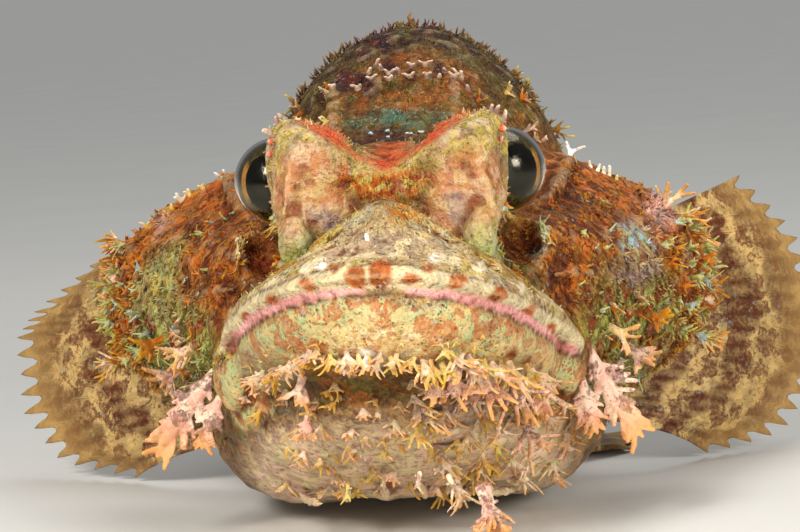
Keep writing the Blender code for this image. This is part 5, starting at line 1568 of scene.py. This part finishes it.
def growth_tree():
    """Nodes that set small shapes on a surface, where and as large as its layers say."""
    tree = bpy.data.node_groups.new("growths", "GeometryNodeTree")
    tree.is_modifier = True
    nodes = Nodes(tree)
    add = tree.interface.new_socket
    add("Surface", in_out="INPUT", socket_type="NodeSocketGeometry")
    add("Growths", in_out="OUTPUT", socket_type="NodeSocketGeometry")
    for name, kind in (("Shapes", "Collection"), ("Per Square Metre", "Float"), ("Where", "String"),
                       ("Spread", "Float"), ("Lie", "Vector"), ("Seed", "Int"), ("Finish", "Material")):
        add(name, in_out="INPUT", socket_type="NodeSocket" + kind)
    entry = tree.nodes.new("NodeGroupInput")
    given = {socket.name: Value(nodes, socket) for socket in entry.outputs if socket.name}

    def named(name, kind):
        return nodes.node("GeometryNodeInputNamedAttribute", dict(data_type=kind), {0: name})

    def chance(kind, low, high, seed):
        """A random value of its own for each growth."""
        first, output = {"FLOAT_VECTOR": (0, 0), "FLOAT": (2, 1), "INT": (4, 2)}[kind]
        return nodes.node("FunctionNodeRandomValue", dict(data_type=kind),
                          {first: low, first + 1: high, "Seed": seed}, output)

    where = named(given["Where"], "FLOAT")
    scattered = tree.nodes.new("GeometryNodeDistributePointsOnFaces")
    tree.links.new(given["Surface"].socket, scattered.inputs["Mesh"])
    tree.links.new((where * given["Per Square Metre"]).socket, scattered.inputs["Density"])
    tree.links.new(given["Seed"].socket, scattered.inputs["Seed"])
    spots, out = Value(nodes, scattered.outputs["Points"]), Value(nodes, scattered.outputs["Normal"])
    spread = nodes.vector("SCALE", chance("FLOAT_VECTOR", (-1, -1, -1), (1, 1, 1), 3), given["Spread"])
    way = nodes.vector("ADD", nodes.vector("ADD", out, given["Lie"]), spread)
    upright = nodes.node("FunctionNodeAlignRotationToVector", dict(axis="Z"), {"Vector": way})
    turn = nodes.node("FunctionNodeAxisAngleToRotation", None,
                      {"Axis": (0, 0, 1), "Angle": chance("FLOAT", 0.0, 2 * math.pi, 5)})
    placed = nodes.node("FunctionNodeRotateRotation", dict(rotation_space="LOCAL"),
                        {"Rotation": upright, "Rotate By": turn})
    shapes = nodes.node("GeometryNodeCollectionInfo", None,
                        {"Collection": given["Shapes"], "Separate Children": True, "Reset Children": True})
    grown = nodes.node("GeometryNodeInstanceOnPoints", None,
                       {"Points": spots, "Instance": shapes, "Pick Instance": True,
                        "Instance Index": chance("INT", 0, GROWTH_VARIANTS - 1, 7), "Rotation": placed,
                        "Scale": chance("FLOAT", 0.55, 1.25, 9) * named("size", "FLOAT")})
    real = nodes.node("GeometryNodeRealizeInstances", None, {"Geometry": grown})
    plan = nodes.vector("SCALE", named("plan", "FLOAT_VECTOR"), PATCH_SIZE)
    mapped = nodes.node("GeometryNodeStoreNamedAttribute", dict(data_type="FLOAT2", domain="CORNER"),
                        {"Geometry": real, "Name": "OFBake",
                         "Value": nodes.vector("ADD", named("unwrap", "FLOAT_VECTOR"), plan)})
    dressed = nodes.node("GeometryNodeSetMaterial", None, {"Geometry": mapped, "Material": given["Finish"]})
    leave = tree.nodes.new("NodeGroupOutput")
    tree.links.new(dressed.socket, leave.inputs["Growths"])
    return tree


def unwrapped(points):
    """The skin laid out flat: round the body one way, and back from the snout the other."""
    x, s, z = points.T
    middle = np.clip(WIDEST_Z_AT(s), 30, 60)
    aside, above = x - swing(s), z - middle
    around = np.arctan2(aside, above) / (2 * math.pi) + 0.5
    back = (s + np.hypot(aside, above) + 10) / (STANDARD_LENGTH + 60)
    return np.stack([0.02 + 0.96 * around, 0.02 + 0.96 * np.clip(back, 0, 1), 0 * s], 1)


def growth_layers(points):
    """How densely the kinds of growth stand at points of the skin, and how tall they are in mm."""
    warped = points + wandering(points, 7.0, 4.0)
    x, s, z = warped.T
    inside = lambda form, soft: np.clip(0.5 - form[0](np.abs(x), s, z) / (2 * soft), 0, 1)
    cheek_low = inside(ball((48, 74, 36), (22, 32, 18)), 5)
    cheek_high = inside(ball((36, 74, 56), (24, 36, 14)), 5)
    cover = inside(ball((60, 94, 46), (14, 20, 30)), 5)
    brow = inside(ball((17, 50, 80), (13, 16, 8)), 3)
    eye_side = inside(ball((22, 50, 71), (9, 14, 14)), 2)
    snout = inside(ball((0, 18, 62), (26, 18, 12)), 3)
    nape_here = inside(ball((0, 104, 92), (34, 36, 26)), 6)
    flank = np.clip((s - 104) / 10, 0, 1) * np.clip((z - 8) / 12, 0, 1)
    rim = inside(along_mouth(0, 8.5, 1.6, 80), 1.5)
    clear = smoothness(points)
    cheek = np.clip(cheek_low + 0.45 * cheek_high, 0, 1)
    threads = 0.9 * brow + 0.7 * eye_side + 0.45 * snout + 0.7 * rim + 0.3 * nape_here
    return {"threads": clear * np.clip(threads, 0, 1),
            "sprigs": clear * np.clip(0.9 * cheek + 0.6 * cover, 0, 1),
            "leaves": np.clip(0.5 * flank + 0.3 * cover, 0, 1),
            "size": 0.9 + 0.5 * cheek_low + 0.3 * cheek_high + 0.7 * cover + 1.2 * flank - 0.1 * snout}


def grow(name, tree, kind, per_square_metre, spread, lie, seed):
    """A piece of small growths of one kind over the whole skin."""
    obj = bpy.data.objects.new(name, skin.data.copy())
    scene.collection.objects.link(obj)
    modifier = obj.modifiers.new("Growths", "NODES")
    modifier.node_group = tree
    shapes = growth_shapes(kind)
    given = {"Shapes": shapes, "Per Square Metre": per_square_metre, "Where": kind, "Spread": spread,
             "Lie": lie, "Seed": seed, "Finish": FLAPS}
    for item in tree.interface.items_tree:
        if item.name in given:
            modifier[item.identifier] = given[item.name]
    bpy.context.view_layer.update()
    graph = bpy.context.evaluated_depsgraph_get()
    mesh = bpy.data.meshes.new_from_object(obj.evaluated_get(graph))
    obj.modifiers.clear()
    obj.data = mesh
    for shape in list(shapes.objects):
        bpy.data.objects.remove(shape)
    bpy.data.collections.remove(shapes)
    print(name, len(mesh.polygons), "faces")
    return obj


for layer, values in growth_layers(skin_points).items():
    set_attribute(skin.data, layer, "FLOAT", values)
set_attribute(skin.data, "unwrap", "FLOAT_VECTOR", unwrapped(skin_points))
GROWTHS = growth_tree()
growth_pieces = {"head_skin": grow("face_threads", GROWTHS, "threads", 4.5e5, 0.8, (0, -0.2, 0.1), 1),
                 "cheek_skin": grow("cheek_sprigs", GROWTHS, "sprigs", 3.2e5, 1.0, (0, -0.1, -0.5), 2),
                 "body_skin": grow("body_leaves", GROWTHS, "leaves", 1.2e5, 0.6, (0, 1.0, 0), 3)}


# Eyes

PUPIL_HALF_WIDTH, PUPIL_HALF_HEIGHT = 0.44, 0.68  # as angles from the eye's middle
GOLD_RING = 1.42  # the gold ring's outer edge against the pupil's


def eye_materials():
    """The painted ball, with a tall dark pupil and a thin gold ring, and the clear dome over it."""
    paint = Paint("iris")
    turn, pupil, beside = [paint.attribute(name, "Fac") for name in ("turn", "pupil", "beside")]
    streaks = paint.noise(0.6, 3, 0.7, 1.0)
    gold = paint.mix(streaks, tint(150, 78, 16), tint(248, 190, 104))
    outer = paint.mix(paint.step(streaks, 0.42, 0.62), tint(52, 44, 22), tint(104, 92, 48))
    gold = paint.mix(paint.step(beside, 0.55, 0.85), outer, gold)
    colour = paint.mix(paint.step(pupil, GOLD_RING - 0.04, GOLD_RING + 0.08), gold, outer)
    colour = paint.mix(paint.step(turn, 1.05, 1.45), colour, tint(24, 18, 14))
    colour = paint.mix(paint.step(pupil, 1.04, 0.98), colour, tint(5, 5, 5))
    ball_finish = paint.finish(colour, 0.22, streaks, 0.04, Coat_Weight=0.8, Coat_Roughness=0.03)
    clear = Paint("clear_dome")
    dome_finish = clear.finish(tint(186, 180, 160), 0.0, clear.noise(6.0), 0.005,
                               Transmission_Weight=1.0, IOR=1.06)
    return ball_finish, dome_finish


def turned_ball(name, centre, axis, radius, around, rings, material):
    """A closed ball whose pole looks along an axis, with its points' places round the pupil."""
    axis = Vector(axis).normalized()
    across = axis.cross(Vector((0, 0, 1))).normalized()
    up = across.cross(axis)
    points, turns, pupils, besides = [], [], [], []
    for j in range(rings + 1):
        turn = math.pi * j / rings
        for i in range(around if 0 < j < rings else 1):
            a = 2 * math.pi * i / around
            way = axis * math.cos(turn) + (across * math.cos(a) + up * math.sin(a)) * math.sin(turn)
            points.append(Vector(centre) + way * radius)
            turns.append(turn)
            besides.append(abs(math.cos(a)))
            beyond = math.hypot(math.cos(a) / PUPIL_HALF_WIDTH, math.sin(a) / PUPIL_HALF_HEIGHT)
            pupils.append(turn * beyond)
    first = lambda j: 1 + (j - 1) * around
    faces = []
    for i in range(around):
        after = (i + 1) % around
        faces.append((0, first(1) + i, first(1) + after))
        faces.append((len(points) - 1, first(rings - 1) + after, first(rings - 1) + i))
        for j in range(1, rings - 1):
            faces.append((first(j) + i, first(j + 1) + i, first(j + 1) + after, first(j) + after))
    obj = make_object(name, [tuple(p) for p in points], faces, material)
    for layer, values in (("turn", turns), ("pupil", pupils), ("beside", besides)):
        set_attribute(obj.data, layer, "FLOAT", values)
    return obj


DOME_DEPTH = 0.3
GAZE_RISE = 0.04
BALL_STEPS, DOME_STEPS = (96, 72), (64, 48)
BALL_FINISH, DOME_FINISH = eye_materials()
eyes = {}
for side, end, aside in ((1, "left", 30), (-1, "right", 20)):
    gaze = (side * math.sin(math.radians(aside)), -math.cos(math.radians(aside)), GAZE_RISE)
    centre = (side * EYE_X, EYE_S, EYE_Z)
    eyes[f"eye_{end}"] = [
        turned_ball(f"eye_{end}_ball", centre, gaze, EYE_RADIUS - DOME_DEPTH, *BALL_STEPS, BALL_FINISH),
        turned_ball(f"eye_{end}_dome", centre, gaze, EYE_RADIUS, *DOME_STEPS, DOME_FINISH)]


# Stage, light and camera

FLOOR_REACH = 80.0
SKY_COLOUR = (0.80, 0.83, 0.86, 1)
SKY_STRENGTH = 0.22
SUN_SPREAD = 40  # degrees of sky that the soft sun fills
FILM_WIDTH = 36
NEAREST = 0.01


def make_stage():
    """A flat, pale floor and an even sky."""
    mesh = bpy.data.meshes.new("floor")
    corners = [(x * FLOOR_REACH, y * FLOOR_REACH, 0) for x, y in ((-1, -1), (1, -1), (1, 1), (-1, 1))]
    mesh.from_pydata(corners, [], [(0, 1, 2, 3)])
    floor = bpy.data.objects.new("floor", mesh)
    scene.collection.objects.link(floor)
    paint = Paint("pale_floor")
    cloud = paint.noise(60, 4)
    mesh.materials.append(paint.finish(paint.mix(cloud, tint(206, 204, 198), tint(216, 214, 208)),
                                       0.7, paint.noise(1.5, 3), 0.05))

    world_light = bpy.data.worlds.new("studio")
    scene.world = world_light
    world_light.use_nodes = True
    background = world_light.node_tree.nodes["Background"]
    background.inputs["Color"].default_value = SKY_COLOUR
    background.inputs["Strength"].default_value = SKY_STRENGTH


def aimed(name, data, place, way):
    """A lamp or camera that stands at a place and looks along a way."""
    obj = bpy.data.objects.new(name, data)
    obj.location = place
    obj.rotation_mode = "QUATERNION"
    obj.rotation_quaternion = Vector(way).to_track_quat("-Z", "Y")
    scene.collection.objects.link(obj)
    return obj


def make_light(name, place, aim, size, power, colour):
    data = bpy.data.lights.new(name, "AREA")
    data.size = size
    data.energy = power
    data.color = colour
    aimed(name, data, place, Vector(aim) - Vector(place))


def make_sky_light(way, strength, colour):
    """An even, soft light from one side of the sky, which reaches the whole floor."""
    data = bpy.data.lights.new("sky", "SUN")
    data.energy = strength
    data.angle = math.radians(SUN_SPREAD)
    data.color = colour
    aimed("sky", data, (0, 0, 0), -Vector(way))


# The camera stands half a metre off the snout, a little above it and turned slightly
CAMERA_DISTANCE = 0.500
CAMERA_AZIMUTH, CAMERA_ELEVATION, CAMERA_ROLL = 2.5, 6.0, -3.0
CAMERA_LENS = 126.0
CAMERA_TARGET = Vector((0.0031, (MOUTH_FRONT_S - ORIGIN_S) * MM, 0.0582))


def make_camera():
    az, el = math.radians(CAMERA_AZIMUTH), math.radians(CAMERA_ELEVATION)
    back = Vector((math.sin(az) * math.cos(el), -math.cos(az) * math.cos(el), math.sin(el)))
    data = bpy.data.cameras.new("camera")
    data.sensor_width = FILM_WIDTH
    data.lens = CAMERA_LENS
    data.clip_start = NEAREST
    scene.camera = aimed("camera", data, CAMERA_TARGET + back * CAMERA_DISTANCE, -back)
    roll = Matrix.Rotation(math.radians(CAMERA_ROLL), 3, "Z").to_quaternion()
    scene.camera.rotation_quaternion = scene.camera.rotation_quaternion @ roll


scene.view_settings.view_transform = "Standard"
make_stage()
make_camera()
FACE = (0, -0.13, 0.05)
make_light("key", (-0.34, -0.70, 0.50), FACE, 0.24, 7.4, (1.0, 0.97, 0.93))
make_light("fill", (0.50, -0.66, 0.36), FACE, 0.24, 4.6, (1.0, 0.98, 0.95))
make_sky_light((0.15, 0.35, 0.80), 1.1, (0.96, 0.98, 1.0))
make_light("low", (0.10, -0.80, 0.02), (0, -0.15, 0.03), 0.30, 1.6, (1.0, 0.97, 0.93))

# What each piece rides on and stands for
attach(skin, "root")
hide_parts("head", "lower_jaw", "gill_cover_left", "gill_cover_right", "trunk", "tail_stem")
for node, piece in fins.items():
    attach(piece, "root")
    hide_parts(node)
for node, pieces in eyes.items():
    for piece in pieces:
        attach(piece, "root")
        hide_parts(node)
for slot, piece in [*flap_pieces.items(), *growth_pieces.items()]:
    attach(piece, "root")
